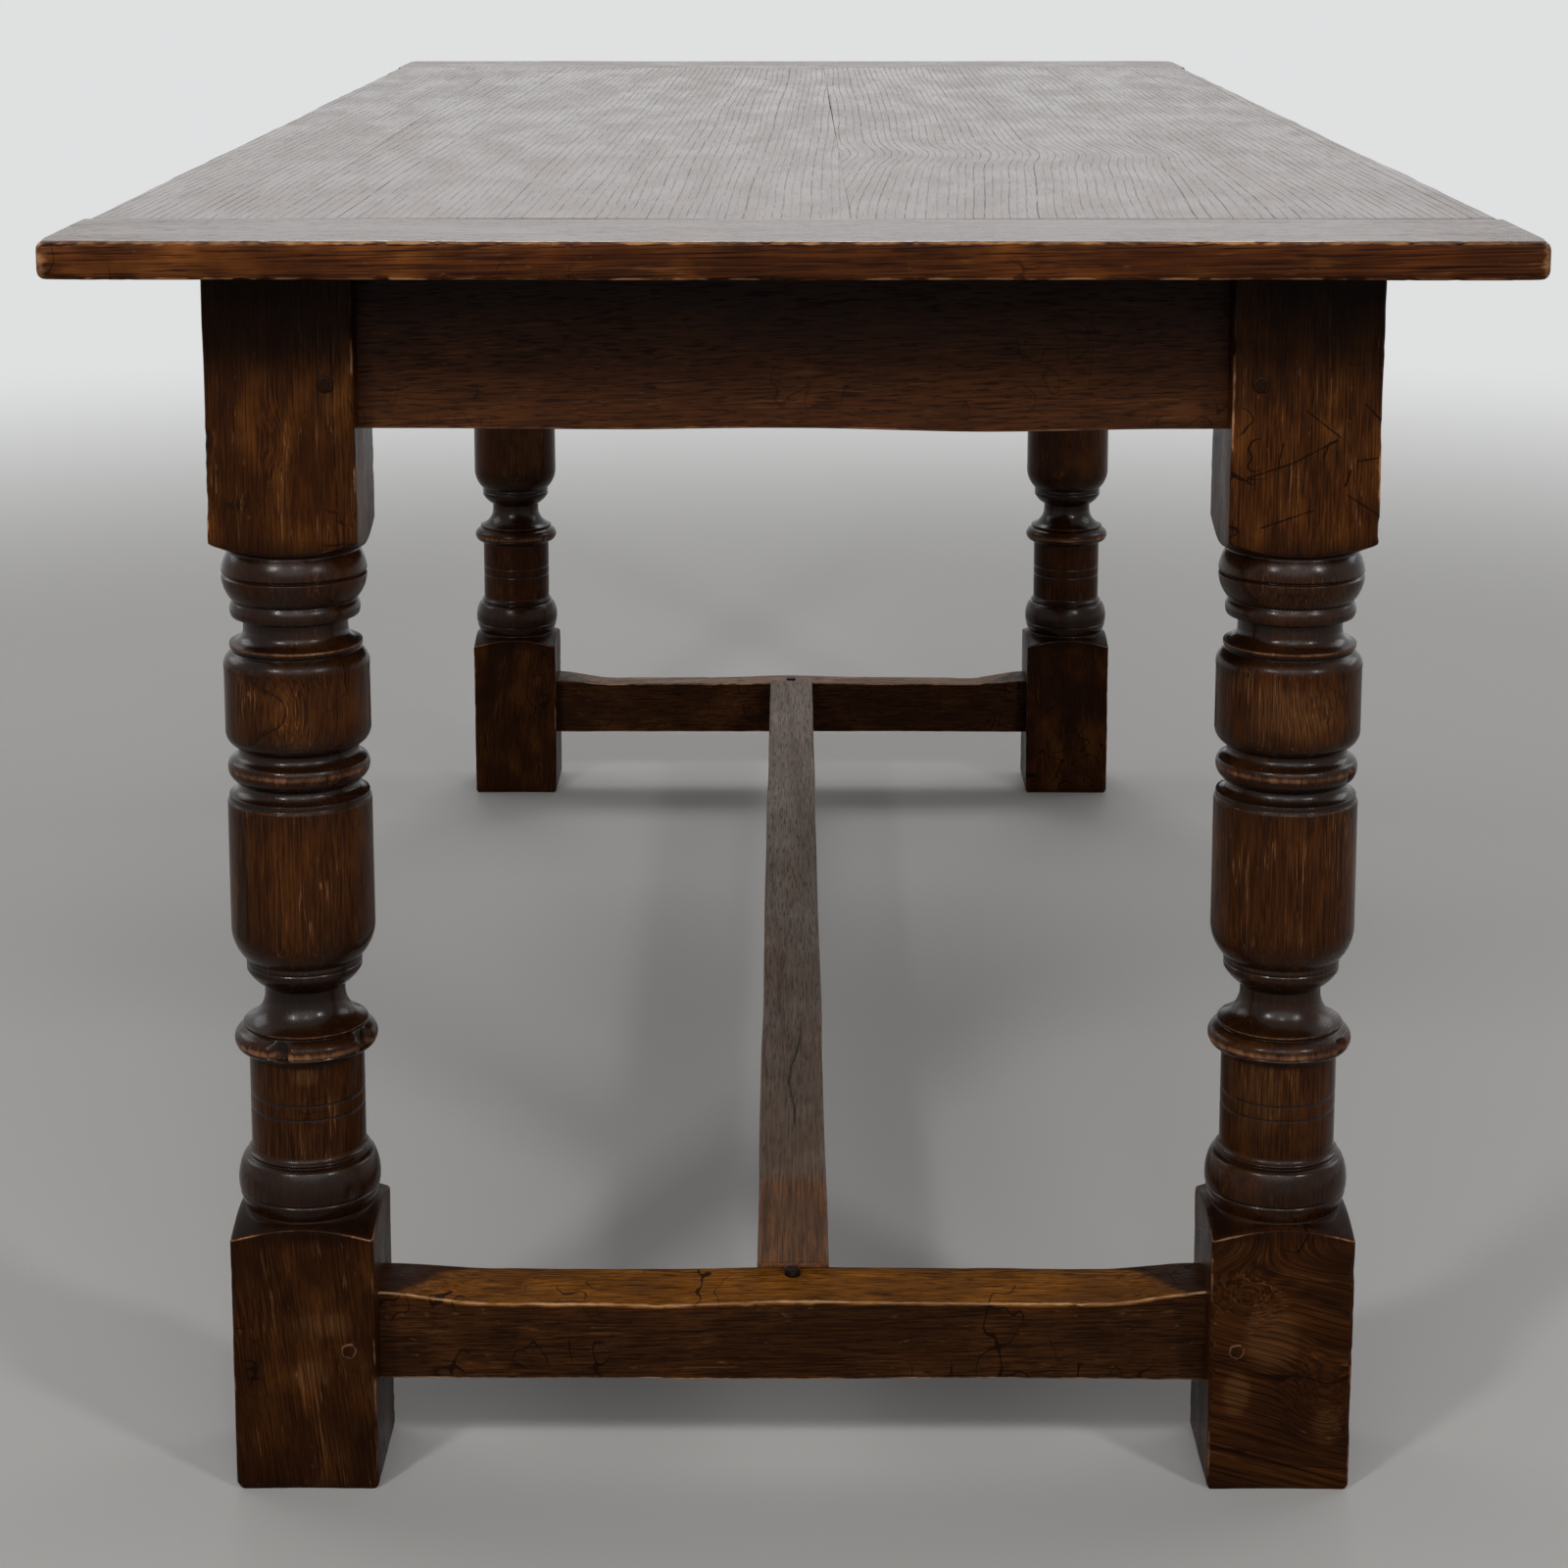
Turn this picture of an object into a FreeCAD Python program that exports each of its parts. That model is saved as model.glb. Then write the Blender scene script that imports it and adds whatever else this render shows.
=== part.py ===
import FreeCAD, Part
import Sketcher
import os
import re

# Refectory table: plank top with breadboard ends, four turned legs, rails and an H stretcher.
# The origin is on the floor under the middle of the table. +Y runs along the top, +Z is up.
# "Front" is the end at -Y, "left" is the side at -X.

# Driving sizes in millimetres
SIZES = {
    # Whole table
    "top_length": 1790,
    "top_width": 812,
    "table_height": 760,
    "end_overhang": 84,
    "side_overhang": 73,
    # Top
    "top_thickness": 21,
    "breadboard_width": 122,
    "board_setback": 3,
    "left_board_width": 102,
    "middle_board_width": 334,
    "end_tongue_length": 25,
    "end_tongue_thickness": 7,
    "end_tongue_margin": 18,
    "loose_tongue_width": 24,
    "loose_tongue_thickness": 6,
    "loose_tongue_margin": 40,
    "breadboard_peg_diameter": 8,
    "breadboard_peg_length": 16,
    # Legs
    "leg_block": 85,
    "foot_block_height": 157,
    "upper_block_height": 160,
    # Rails
    "rail_depth": 98,
    "rail_thickness": 28,
    "rail_recess": 19,
    "rail_tenon_thickness": 10,
    "rail_tenon_gap": 4,
    "rail_tenon_top_margin": 20,
    "rail_tenon_bottom_margin": 10,
    "rail_peg_drop": 69,
    # Stretchers
    "stretcher_lift": 60,
    "stretcher_height": 57,
    "stretcher_thickness": 44,
    "stretcher_tenon_length": 46,
    "stretcher_tenon_thickness": 14,
    "stretcher_tenon_margin": 10,
    "centre_stretcher_width": 44,
    "centre_tenon_length": 28,
    "centre_peg_inset": 10,
    "centre_peg_length": 48,
    # Pegs in the legs
    "peg_diameter": 10,
    "peg_length": 56,
    "peg_inset": 16,
    # Buttons that hold the top, and their screws
    "button_length": 44,
    "button_width": 30,
    "button_height": 19,
    "button_lip_length": 8,
    "button_lip_height": 7,
    "button_groove_margin": 30,
    "screw_length": 29,
    "screw_shank_diameter": 4,
    "screw_head_diameter": 8,
    "screw_head_height": 3,
    # Fits and cuts
    "joint_clearance": 0.15,
    "cut_overrun": 2,
}

# Sizes that follow from the driving ones
DERIVED = {
    "leg_length": "table_height - top_thickness",
    "turned_length": "table_height - top_thickness - foot_block_height - upper_block_height",
    "board_length": "top_length - 2 * breadboard_width",
    "right_board_width": "top_width - 2 * board_setback - left_board_width - middle_board_width",
    "frame_length": "top_length - 2 * end_overhang",
    "frame_width": "top_width - 2 * side_overhang",
    "leg_place_x": "(frame_width - leg_block) / 2",
    "leg_place_y": "(frame_length - leg_block) / 2",
    "rail_inner_x": "frame_width / 2 - rail_recess - rail_thickness",
    "rail_inner_y": "frame_length / 2 - rail_recess - rail_thickness",
    "rail_offset": "(leg_block - rail_thickness) / 2 - rail_recess",
    "rail_tenon_length": "leg_block / 2 + rail_offset - rail_tenon_thickness / 2 - rail_tenon_gap",
    "end_rail_length": "frame_width - 2 * leg_block",
    "side_rail_length": "frame_length - 2 * leg_block",
    "stretcher_inner_y": "leg_place_y - stretcher_thickness / 2",
}

# Turned part of a leg, from the foot block up: radii as shares of the block's width, heights as shares
# of the turned length. A pair is the end of a straight stretch, four numbers are a point that an arc
# passes and the arc's end.
TURNING_SHARES = (
    # crease over the foot block, then the base torus
    (0.445, 0.023),
    (0.499, 0.064, 0.455, 0.099),
    # fillet ring and cove up to the lower cylinder
    (0.436, 0.101),
    (0.434, 0.106),
    (0.409, 0.110, 0.401, 0.119),
    (0.401, 0.253),
    # ring bead
    (0.412, 0.255),
    (0.499, 0.272, 0.455, 0.287),
    (0.425, 0.290),
    # thin lip and a hollow flare up to the narrow neck
    (0.436, 0.293),
    (0.436, 0.296),
    (0.3233, 0.3117, 0.280, 0.338),
    (0.280, 0.349),
    # band under the long barrel
    (0.352, 0.360, 0.400, 0.373),
    (0.402, 0.386),
    (0.396, 0.389),
    # long barrel with a rounded lower end
    (0.473, 0.411, 0.499, 0.434),
    (0.497, 0.618),
    (0.484, 0.621),
    (0.484, 0.629),
    # cove and flange bead
    (0.431, 0.634, 0.408, 0.645),
    (0.487, 0.664, 0.474, 0.677),
    (0.450, 0.680),
    (0.419, 0.685, 0.413, 0.696),
    # short barrel
    (0.468, 0.703, 0.499, 0.723),
    (0.499, 0.807),
    (0.480, 0.825, 0.439, 0.832),
    # sharp flange and cove neck
    (0.456, 0.839),
    (0.456, 0.844),
    (0.384, 0.850, 0.359, 0.862),
    (0.359, 0.877),
    # skirt with a sharp lower lip, and the bun under the upper block
    (0.436, 0.881),
    (0.447, 0.889, 0.426, 0.903),
    (0.499, 0.939, 0.440, 0.975),
)
CORNER_RADIUS_SHARE = 0.7072

# Places along a rail, as shares of its length between the legs
SIDE_BUTTON_SHARES = (-0.36, 0, 0.36)
END_BUTTON_SHARES = (-0.28, 0.28)
# Places across each board of the pegs that hold it in the breadboard, as shares of its width
LEFT_PEG_SHARES = (0.55,)
MIDDLE_PEG_SHARES = (0.2, 0.8)
RIGHT_PEG_SHARES = (0.2, 0.8)

SIDES = {"left": -1, "right": 1}
ENDS = {"front": -1, "rear": 1}

# The body plane across each axis, and which way its normal points along that axis
PLANES = {"x": ("YZ_Plane", 1), "y": ("XZ_Plane", -1), "z": ("XY_Plane", 1)}

doc = FreeCAD.newDocument("refectory_table")
sheet = doc.addObject("Spreadsheet::Sheet", "sizes")
for row, (alias, value) in enumerate(SIZES.items(), start=1):
    sheet.set(f"A{row}", alias)
    sheet.set(f"B{row}", str(value))
    sheet.setAlias(f"B{row}", alias)
for row, (alias, formula) in enumerate(DERIVED.items(), start=len(SIZES) + 1):
    sheet.set(f"A{row}", alias)
    sheet.set(f"B{row}", f"={formula}")
    sheet.setAlias(f"B{row}", alias)
doc.recompute()

parts = []


def cell(text):
    """The formula with each size named as a cell of the sheet."""
    return re.sub(r"[a-z_]+", lambda found: f"sizes.{found.group()}", text)


def number(text):
    """The present value of a formula, in millimetres."""
    return float(sheet.evalExpression(cell(text)))


def vector(place):
    return FreeCAD.Vector(number(place[0]), number(place[1]), 0)


def bind(item, field, text):
    item.setExpression(field, cell(text))


def new_body(label, x="0", y="0", z="0"):
    body = doc.addObject("PartDesign::Body", label)
    body.Label = label
    for axis, text in zip("xyz", (x, y, z)):
        bind(body, f"Placement.Base.{axis}", text)
    return body


def new_sketch(body, axis, level):
    """A sketch across an axis of the body, at a level along that axis."""
    role, normal = PLANES[axis]
    plane = next(item for item in body.Origin.OriginFeatures if item.Role == role)
    sketch = body.newObject("Sketcher::SketchObject", f"{body.Label}_sketch")
    sketch.AttachmentSupport = (plane, "")
    sketch.MapMode = "FlatFace"
    bind(sketch, "AttachmentOffset.Base.z", f"{normal} * ({level})")
    return sketch


def hold(sketch, constraints, formulas):
    """Adds the constraints, and binds the first of them to the formulas."""
    indices = sketch.addConstraint(constraints)
    for index, formula in zip(indices, formulas):
        bind(sketch, f"Constraints[{index}]", formula)


def point_constraints(geometry, point, place):
    """The two constraints that hold a point of the sketch at a place."""
    at = vector(place)
    return [
        Sketcher.Constraint("DistanceX", -1, 1, geometry, point, at.x),
        Sketcher.Constraint("DistanceY", -1, 1, geometry, point, at.y),
    ]


def outline(sketch, steps):
    """A closed outline. A step is a line's end, or a point on an arc and the arc's end."""
    ends = [step[-2:] for step in steps]
    placed = []
    formulas = []
    joined = []
    starts = []
    finishes = []
    for index, step in enumerate(steps):
        start = vector(ends[index - 1])
        end = vector(ends[index])
        if len(step) == 2:
            curve = sketch.addGeometry(Part.LineSegment(start, end))
        else:
            curve = sketch.addGeometry(Part.Arc(start, vector(step[:2]), end))
            middle = sketch.addGeometry(Part.Point(vector(step[:2])), True)
            placed += point_constraints(middle, 1, step[:2])
            formulas += step[:2]
            joined.append(Sketcher.Constraint("PointOnObject", middle, 1, curve))
        runs_forward = sketch.getPoint(curve, 1).isEqual(start, Part.Precision.confusion())
        first, last = (1, 2) if runs_forward else (2, 1)
        starts.append((curve, first))
        finishes.append((curve, last))
        placed += point_constraints(curve, last, ends[index])
        formulas += ends[index]
    for finish, start in zip(finishes[-1:] + finishes, starts):
        joined.append(Sketcher.Constraint("Coincident", *finish, *start))
    hold(sketch, placed + joined, formulas)
    return sketch


def circles(sketch, places, diameter):
    for place in places:
        circle = Part.Circle(vector(place), FreeCAD.Vector(0, 0, 1), number(diameter) / 2)
        ring = sketch.addGeometry(circle)
        constraints = point_constraints(ring, 3, place)
        constraints.append(Sketcher.Constraint("Diameter", ring, number(diameter)))
        hold(sketch, constraints, [place[0], place[1], diameter])
    return sketch


def rectangle(low, high):
    return [low, (high[0], low[1]), high, (low[0], high[1])]


def grow(body, sketch, axis, way, length):
    """Adds material from the sketch, along the axis in the way's direction."""
    pad = body.newObject("PartDesign::Pad", f"{body.Label}_pad")
    pad.Profile = sketch
    bind(pad, "Length", length)
    pad.Reversed = way * PLANES[axis][1] < 0


def cut(body, sketch, axis, way, length):
    """Takes material from the sketch's level, along the axis in the way's direction."""
    pocket = body.newObject("PartDesign::Pocket", f"{body.Label}_pocket")
    pocket.Profile = sketch
    bind(pocket, "Length", length)
    pocket.Reversed = way * PLANES[axis][1] > 0


def block(body, axis, level, way, length, low, high):
    grow(body, outline(new_sketch(body, axis, level), rectangle(low, high)), axis, way, length)


def slot(body, axis, level, way, length, low, high):
    """A pocket wider than low to high by the joint's clearance on each side, and as much deeper."""
    low = [f"{text} - joint_clearance" for text in low]
    high = [f"{text} + joint_clearance" for text in high]
    sketch = outline(new_sketch(body, axis, level), rectangle(tuple(low), tuple(high)))
    cut(body, sketch, axis, way, f"{length} + joint_clearance")


def drill(body, axis, level, way, length, places, diameter):
    cut(body, circles(new_sketch(body, axis, level), places, diameter), axis, way, length)


def pin(label, place, axis, way, diameter, length):
    """A round peg from its outer end, a clearance smaller than its hole."""
    body = new_body(label, *place)
    sketch = circles(new_sketch(body, axis, "0"), [("0", "0")], f"{diameter} - 2 * joint_clearance")
    grow(body, sketch, axis, way, length)
    return body


def group(label, members):
    compound = doc.addObject("Part::Compound", label)
    compound.Label = label
    compound.Links = members
    return compound


# Top boards

BOARD_LEFT_EDGE = {
    "left": "board_setback - top_width / 2",
    "middle": "board_setback - top_width / 2 + left_board_width",
    "right": "board_setback - top_width / 2 + left_board_width + middle_board_width",
}
BOARD_PEG_SHARES = {"left": LEFT_PEG_SHARES, "middle": MIDDLE_PEG_SHARES, "right": RIGHT_PEG_SHARES}
TONGUE_START = {"left": "end_tongue_margin - board_setback", "middle": "0", "right": "0"}
TONGUE_END = {
    "left": "left_board_width",
    "middle": "middle_board_width",
    "right": "right_board_width + board_setback - end_tongue_margin",
}
END_TONGUE_LOW = "(top_thickness - end_tongue_thickness) / 2"
END_TONGUE_HIGH = "(top_thickness + end_tongue_thickness) / 2"
LOOSE_TONGUE_LOW = "(top_thickness - loose_tongue_thickness) / 2"
LOOSE_TONGUE_HIGH = "(top_thickness + loose_tongue_thickness) / 2"
LOOSE_TONGUE_REACH = "board_length / 2 - loose_tongue_margin"
SCREW_HOLE = "screw_shank_diameter + 2 * joint_clearance"


def breadboard_peg_places(board):
    """Where the pegs of a board stand across the table."""
    return [f"{BOARD_LEFT_EDGE[board]} + {share} * {board}_board_width" for share in BOARD_PEG_SHARES[board]]


def button_places():
    """Each button's label, the axis it points along, the way to its rail, and where it meets the rail."""
    places = []
    for side, way in SIDES.items():
        for count, share in enumerate(SIDE_BUTTON_SHARES, start=1):
            place = (f"{way} * rail_inner_x", f"{share} * side_rail_length")
            places.append((f"top_button_{side}_{count}", "x", way, place))
    for end, way in ENDS.items():
        for count, share in enumerate(END_BUTTON_SHARES, start=1):
            place = (f"{share} * end_rail_length", f"{way} * rail_inner_y")
            places.append((f"top_button_{end}_{count}", "y", way, place))
    return places


def screw_place(axis, way, place):
    """The screw stands in the middle of its button's length."""
    x, y = place
    if axis == "x":
        return (f"{x} - {way} * button_length / 2", y)
    return (x, f"{y} - {way} * button_length / 2")


def screws_under(board):
    """Places of the screws that enter a board, from the board's own left edge."""
    left_edge = number(BOARD_LEFT_EDGE[board])
    right_edge = left_edge + number(f"{board}_board_width")
    places = []
    for label, axis, way, place in button_places():
        x, y = screw_place(axis, way, place)
        if left_edge < number(x) < right_edge:
            places.append((f"{x} - ({BOARD_LEFT_EDGE[board]})", y))
    return places


for board in BOARD_LEFT_EDGE:
    width = f"{board}_board_width"
    body = new_body(f"top_board_{board}", BOARD_LEFT_EDGE[board], "0", "leg_length")
    block(body, "z", "0", 1, "top_thickness", ("0", "-board_length / 2"), (width, "board_length / 2"))
    for way in ENDS.values():
        low = (TONGUE_START[board], END_TONGUE_LOW)
        high = (TONGUE_END[board], END_TONGUE_HIGH)
        block(body, "y", f"{way} * board_length / 2", way, "end_tongue_length", low, high)
        peg_y = f"{way} * (board_length + end_tongue_length) / 2"
        pegs = [(f"{share} * {width}", peg_y) for share in BOARD_PEG_SHARES[board]]
        drill(body, "z", "0", 1, "top_thickness", pegs, "breadboard_peg_diameter")
    groove_low = (f"-({LOOSE_TONGUE_REACH})", LOOSE_TONGUE_LOW)
    groove_high = (LOOSE_TONGUE_REACH, LOOSE_TONGUE_HIGH)
    if board != "left":
        slot(body, "x", "0", 1, "loose_tongue_width / 2", groove_low, groove_high)
    if board != "right":
        slot(body, "x", width, -1, "loose_tongue_width / 2", groove_low, groove_high)
    screws = screws_under(board)
    if screws:
        drill(body, "z", "0", 1, "screw_length - button_height + joint_clearance", screws, SCREW_HOLE)
    parts.append(body)

for seam, board in (("left", "middle"), ("right", "right")):
    body = new_body(f"top_tongue_{seam}", BOARD_LEFT_EDGE[board], "0", "leg_length")
    low = ("-loose_tongue_width / 2", LOOSE_TONGUE_LOW)
    high = ("loose_tongue_width / 2", LOOSE_TONGUE_HIGH)
    block(body, "y", f"-({LOOSE_TONGUE_REACH})", 1, f"2 * ({LOOSE_TONGUE_REACH})", low, high)
    parts.append(body)

# Breadboard ends, grooved for the boards' end tongues and pegged from below

for end, way in ENDS.items():
    body = new_body(f"breadboard_{end}", "0", f"{way} * board_length / 2", "leg_length")
    low = ("-top_width / 2", "0")
    high = ("top_width / 2", "top_thickness")
    block(body, "y", "0", way, "breadboard_width", low, high)
    low = ("end_tongue_margin - top_width / 2", END_TONGUE_LOW)
    high = ("top_width / 2 - end_tongue_margin", END_TONGUE_HIGH)
    slot(body, "y", "0", way, "end_tongue_length", low, high)
    across = [x for board in BOARD_LEFT_EDGE for x in breadboard_peg_places(board)]
    places = [(x, f"{way} * end_tongue_length / 2") for x in across]
    drill(body, "z", "0", 1, "breadboard_peg_length", places, "breadboard_peg_diameter")
    parts.append(body)
    pegs = []
    for count, x in enumerate(across, start=1):
        place = (x, f"{way} * (board_length + end_tongue_length) / 2", "leg_length")
        label = f"breadboard_peg_{end}_{count}"
        pegs.append(pin(label, place, "z", 1, "breadboard_peg_diameter", "breadboard_peg_length"))
    parts.append(group(f"breadboard_pegs_{end}", pegs))

# Legs: square stock, turned between the blocks, with mortises and peg holes

RAIL_TENON_LOW = "rail_tenon_bottom_margin"
RAIL_TENON_HIGH = "rail_depth - rail_tenon_top_margin"
STRETCHER_TENON_LOW = "stretcher_tenon_margin"
STRETCHER_TENON_HIGH = "stretcher_height - stretcher_tenon_margin"
RAIL_BOTTOM = "leg_length - rail_depth"
RAIL_PEG_HEIGHT = "leg_length - rail_peg_drop"
STRETCHER_PEG_HEIGHT = "stretcher_lift + stretcher_height / 2"


def turning(sketch):
    """The outline of what the lathe takes away, between the turned shape and the block's corners."""
    rim = f"{CORNER_RADIUS_SHARE} * leg_block + cut_overrun"
    steps = [(rim, "foot_block_height")]
    for shares in TURNING_SHARES:
        step = []
        for radius, height in zip(shares[::2], shares[1::2]):
            step += [f"{radius} * leg_block", f"foot_block_height + {height} * turned_length"]
        steps.append(tuple(step))
    steps.append((rim, "foot_block_height + turned_length"))
    return outline(sketch, steps)


def mortise(body, axis, way, centre, thickness, length, low, high):
    """A mortise in the leg's inner face, cut outwards."""
    slot_low = (f"{centre} - {thickness} / 2", low)
    slot_high = (f"{centre} + {thickness} / 2", high)
    slot(body, axis, f"{-way} * leg_block / 2", way, length, slot_low, slot_high)


def leg(label, side_way, end_way):
    body = new_body(label, f"{side_way} * leg_place_x", f"{end_way} * leg_place_y", "0")
    low = ("-leg_block / 2", "-leg_block / 2")
    high = ("leg_block / 2", "leg_block / 2")
    block(body, "z", "0", 1, "leg_length", low, high)
    profile = turning(new_sketch(body, "y", "0"))
    groove = body.newObject("PartDesign::Groove", f"{label}_turning")
    groove.Profile = profile
    groove.ReferenceAxis = (profile, ["V_Axis"])
    groove.Angle = 360
    rail_span = (f"{RAIL_BOTTOM} + {RAIL_TENON_LOW}", f"{RAIL_BOTTOM} + {RAIL_TENON_HIGH}")
    for axis, way, centre in (("x", side_way, end_way), ("y", end_way, side_way)):
        centre_line = f"{centre} * rail_offset"
        mortise(body, axis, way, centre_line, "rail_tenon_thickness", "rail_tenon_length", *rail_span)
    low = f"stretcher_lift + {STRETCHER_TENON_LOW}"
    high = f"stretcher_lift + {STRETCHER_TENON_HIGH}"
    mortise(body, "x", side_way, "0", "stretcher_tenon_thickness", "stretcher_tenon_length", low, high)
    peg_x = f"{-side_way} * (leg_block / 2 - peg_inset)"
    peg_y = f"{-end_way} * (leg_block / 2 - peg_inset)"
    end_pegs = [(peg_x, RAIL_PEG_HEIGHT), (peg_x, STRETCHER_PEG_HEIGHT)]
    drill(body, "y", f"{end_way} * leg_block / 2", -end_way, "peg_length", end_pegs, "peg_diameter")
    side_pegs = [(peg_y, RAIL_PEG_HEIGHT)]
    drill(body, "x", f"{side_way} * leg_block / 2", -side_way, "peg_length", side_pegs, "peg_diameter")
    parts.append(body)


def leg_pegs(corner, side_way, end_way):
    """The pegs of the end rail and the stretcher, in the leg's end face, and of the side rail."""
    end_x = f"{side_way} * (leg_place_x - leg_block / 2 + peg_inset)"
    end_y = f"{end_way} * frame_length / 2"
    side_x = f"{side_way} * frame_width / 2"
    side_y = f"{end_way} * (leg_place_y - leg_block / 2 + peg_inset)"
    pegs = (
        ("end_rail_peg", (end_x, end_y, RAIL_PEG_HEIGHT), "y", -end_way),
        ("side_rail_peg", (side_x, side_y, RAIL_PEG_HEIGHT), "x", -side_way),
        ("stretcher_peg", (end_x, end_y, STRETCHER_PEG_HEIGHT), "y", -end_way),
    )
    for name, place, axis, way in pegs:
        parts.append(pin(f"{name}_{corner}", place, axis, way, "peg_diameter", "peg_length"))


for end, end_way in ENDS.items():
    for side, side_way in SIDES.items():
        leg(f"leg_{end}_{side}", side_way, end_way)
        leg_pegs(f"{end}_{side}", side_way, end_way)


# Rails and stretchers: tenoned bars

def tenoned_bar(label, place, axis, length, section, tenon):
    """A bar along an axis, centred on its place, with a tenon past each shoulder."""
    thickness, height = section
    tenon_length, tenon_thickness, tenon_low, tenon_high = tenon
    body = new_body(label, *place)
    low = (f"-{thickness} / 2", "0")
    high = (f"{thickness} / 2", height)
    block(body, axis, f"-{length} / 2", 1, length, low, high)
    for way in (-1, 1):
        low = (f"-{tenon_thickness} / 2", tenon_low)
        high = (f"{tenon_thickness} / 2", tenon_high)
        block(body, axis, f"{way} * {length} / 2", way, tenon_length, low, high)
    parts.append(body)
    return body


def rail(label, place, axis, across, way, length):
    """A rail under the top, its inner face grooved for the buttons. The way points outwards."""
    tenon = ("rail_tenon_length", "rail_tenon_thickness", RAIL_TENON_LOW, RAIL_TENON_HIGH)
    body = tenoned_bar(label, place, axis, length, ("rail_thickness", "rail_depth"), tenon)
    reach = f"{length} / 2 + peg_inset"
    pegs = [(f"-({reach})", "rail_depth - rail_peg_drop"), (reach, "rail_depth - rail_peg_drop")]
    drill(body, across, "-rail_thickness / 2", 1, "rail_thickness", pegs, "peg_diameter")
    low = (f"button_groove_margin - {length} / 2", "rail_depth - button_height")
    high = (f"{length} / 2 - button_groove_margin", "rail_depth - button_height + button_lip_height")
    slot(body, across, f"{-way} * rail_thickness / 2", way, "button_lip_length", low, high)


for end, way in ENDS.items():
    place = ("0", f"{way} * (leg_place_y + rail_offset)", RAIL_BOTTOM)
    rail(f"end_rail_{end}", place, "x", "y", way, "end_rail_length")
for side, way in SIDES.items():
    place = (f"{way} * (leg_place_x + rail_offset)", "0", RAIL_BOTTOM)
    rail(f"side_rail_{side}", place, "y", "x", way, "side_rail_length")

for end, way in ENDS.items():
    place = ("0", f"{way} * leg_place_y", "stretcher_lift")
    section = ("stretcher_thickness", "stretcher_height")
    tenon = ("stretcher_tenon_length", "stretcher_tenon_thickness", STRETCHER_TENON_LOW, STRETCHER_TENON_HIGH)
    body = tenoned_bar(f"end_stretcher_{end}", place, "x", "end_rail_length", section, tenon)
    reach = "end_rail_length / 2 + peg_inset"
    pegs = [(f"-({reach})", "stretcher_height / 2"), (reach, "stretcher_height / 2")]
    drill(body, "y", "-stretcher_thickness / 2", 1, "stretcher_thickness", pegs, "peg_diameter")
    low = ("-stretcher_tenon_thickness / 2", STRETCHER_TENON_LOW)
    high = ("stretcher_tenon_thickness / 2", STRETCHER_TENON_HIGH)
    slot(body, "y", f"{-way} * stretcher_thickness / 2", way, "centre_tenon_length", low, high)
    inset = f"{-way} * (stretcher_thickness / 2 - centre_peg_inset)"
    drill(body, "z", "stretcher_height", -1, "centre_peg_length", [("0", inset)], "peg_diameter")
    place = ("0", f"{way} * (stretcher_inner_y + centre_peg_inset)", "stretcher_lift + stretcher_height")
    parts.append(pin(f"centre_peg_{end}", place, "z", -1, "peg_diameter", "centre_peg_length"))

tenon = ("centre_tenon_length", "stretcher_tenon_thickness", STRETCHER_TENON_LOW, STRETCHER_TENON_HIGH)
section = ("centre_stretcher_width", "stretcher_height")
place = ("0", "0", "stretcher_lift")
body = tenoned_bar("centre_stretcher", place, "y", "2 * stretcher_inner_y", section, tenon)
reach = "stretcher_inner_y + centre_peg_inset"
drill(body, "z", "0", 1, "stretcher_height", [("0", f"-({reach})"), ("0", reach)], "peg_diameter")

# Buttons screwed up into the top, each with a lip in its rail's groove

screws = []
for label, axis, way, place in button_places():
    body = new_body(label, place[0], place[1], "leg_length")
    along = "y" if axis == "x" else "x"
    lip = f"{way} * button_lip_length"
    face = f"{-way} * joint_clearance"
    tail = f"{-way} * button_length"
    lip_top = "button_lip_height - button_height"
    lip_steps = [(lip, "-button_height"), (lip, lip_top), (face, lip_top)]
    steps = [(tail, "-button_height"), *lip_steps, (face, "0"), (tail, "0")]
    grow(body, outline(new_sketch(body, along, "-button_width / 2"), steps), along, 1, "button_width")
    hole = screw_place(axis, way, ("0", "0"))
    drill(body, "z", "-button_height", 1, "button_height", [hole], SCREW_HOLE)
    parts.append(body)
    x, y = screw_place(axis, way, place)
    screw = new_body(f"{label}_screw", x, y, "leg_length - button_height")
    head = circles(new_sketch(screw, "z", "0"), [("0", "0")], "screw_head_diameter")
    grow(screw, head, "z", -1, "screw_head_height")
    shank = circles(new_sketch(screw, "z", "0"), [("0", "0")], "screw_shank_diameter")
    grow(screw, shank, "z", 1, "screw_length")
    screws.append(screw)
parts.append(group("button_screws", screws))

doc.recompute()

for item in doc.Objects:
    if "Invalid" in item.State or "Error" in item.State:
        raise RuntimeError(f"{item.Label} failed: {item.State}")
    if item.TypeId in ("PartDesign::Pocket", "PartDesign::Groove"):
        if item.Shape.Volume >= item.BaseFeature.Shape.Volume:
            raise RuntimeError(f"{item.Label} takes nothing away")
for item in parts:
    if item.Shape.isNull() or not item.Shape.isValid():
        raise RuntimeError(f"{item.Label} has no valid shape")

os.makedirs("parts", exist_ok=True)
for item in parts:
    item.Shape.exportStep(f"parts/{item.Label}.step")
    print(item.Label, len(item.Shape.Solids), "solids", round(item.Shape.Volume), "mm3")
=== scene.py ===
import math

import bpy
import numpy as np
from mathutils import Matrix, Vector
from numpy.linalg import norm


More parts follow.
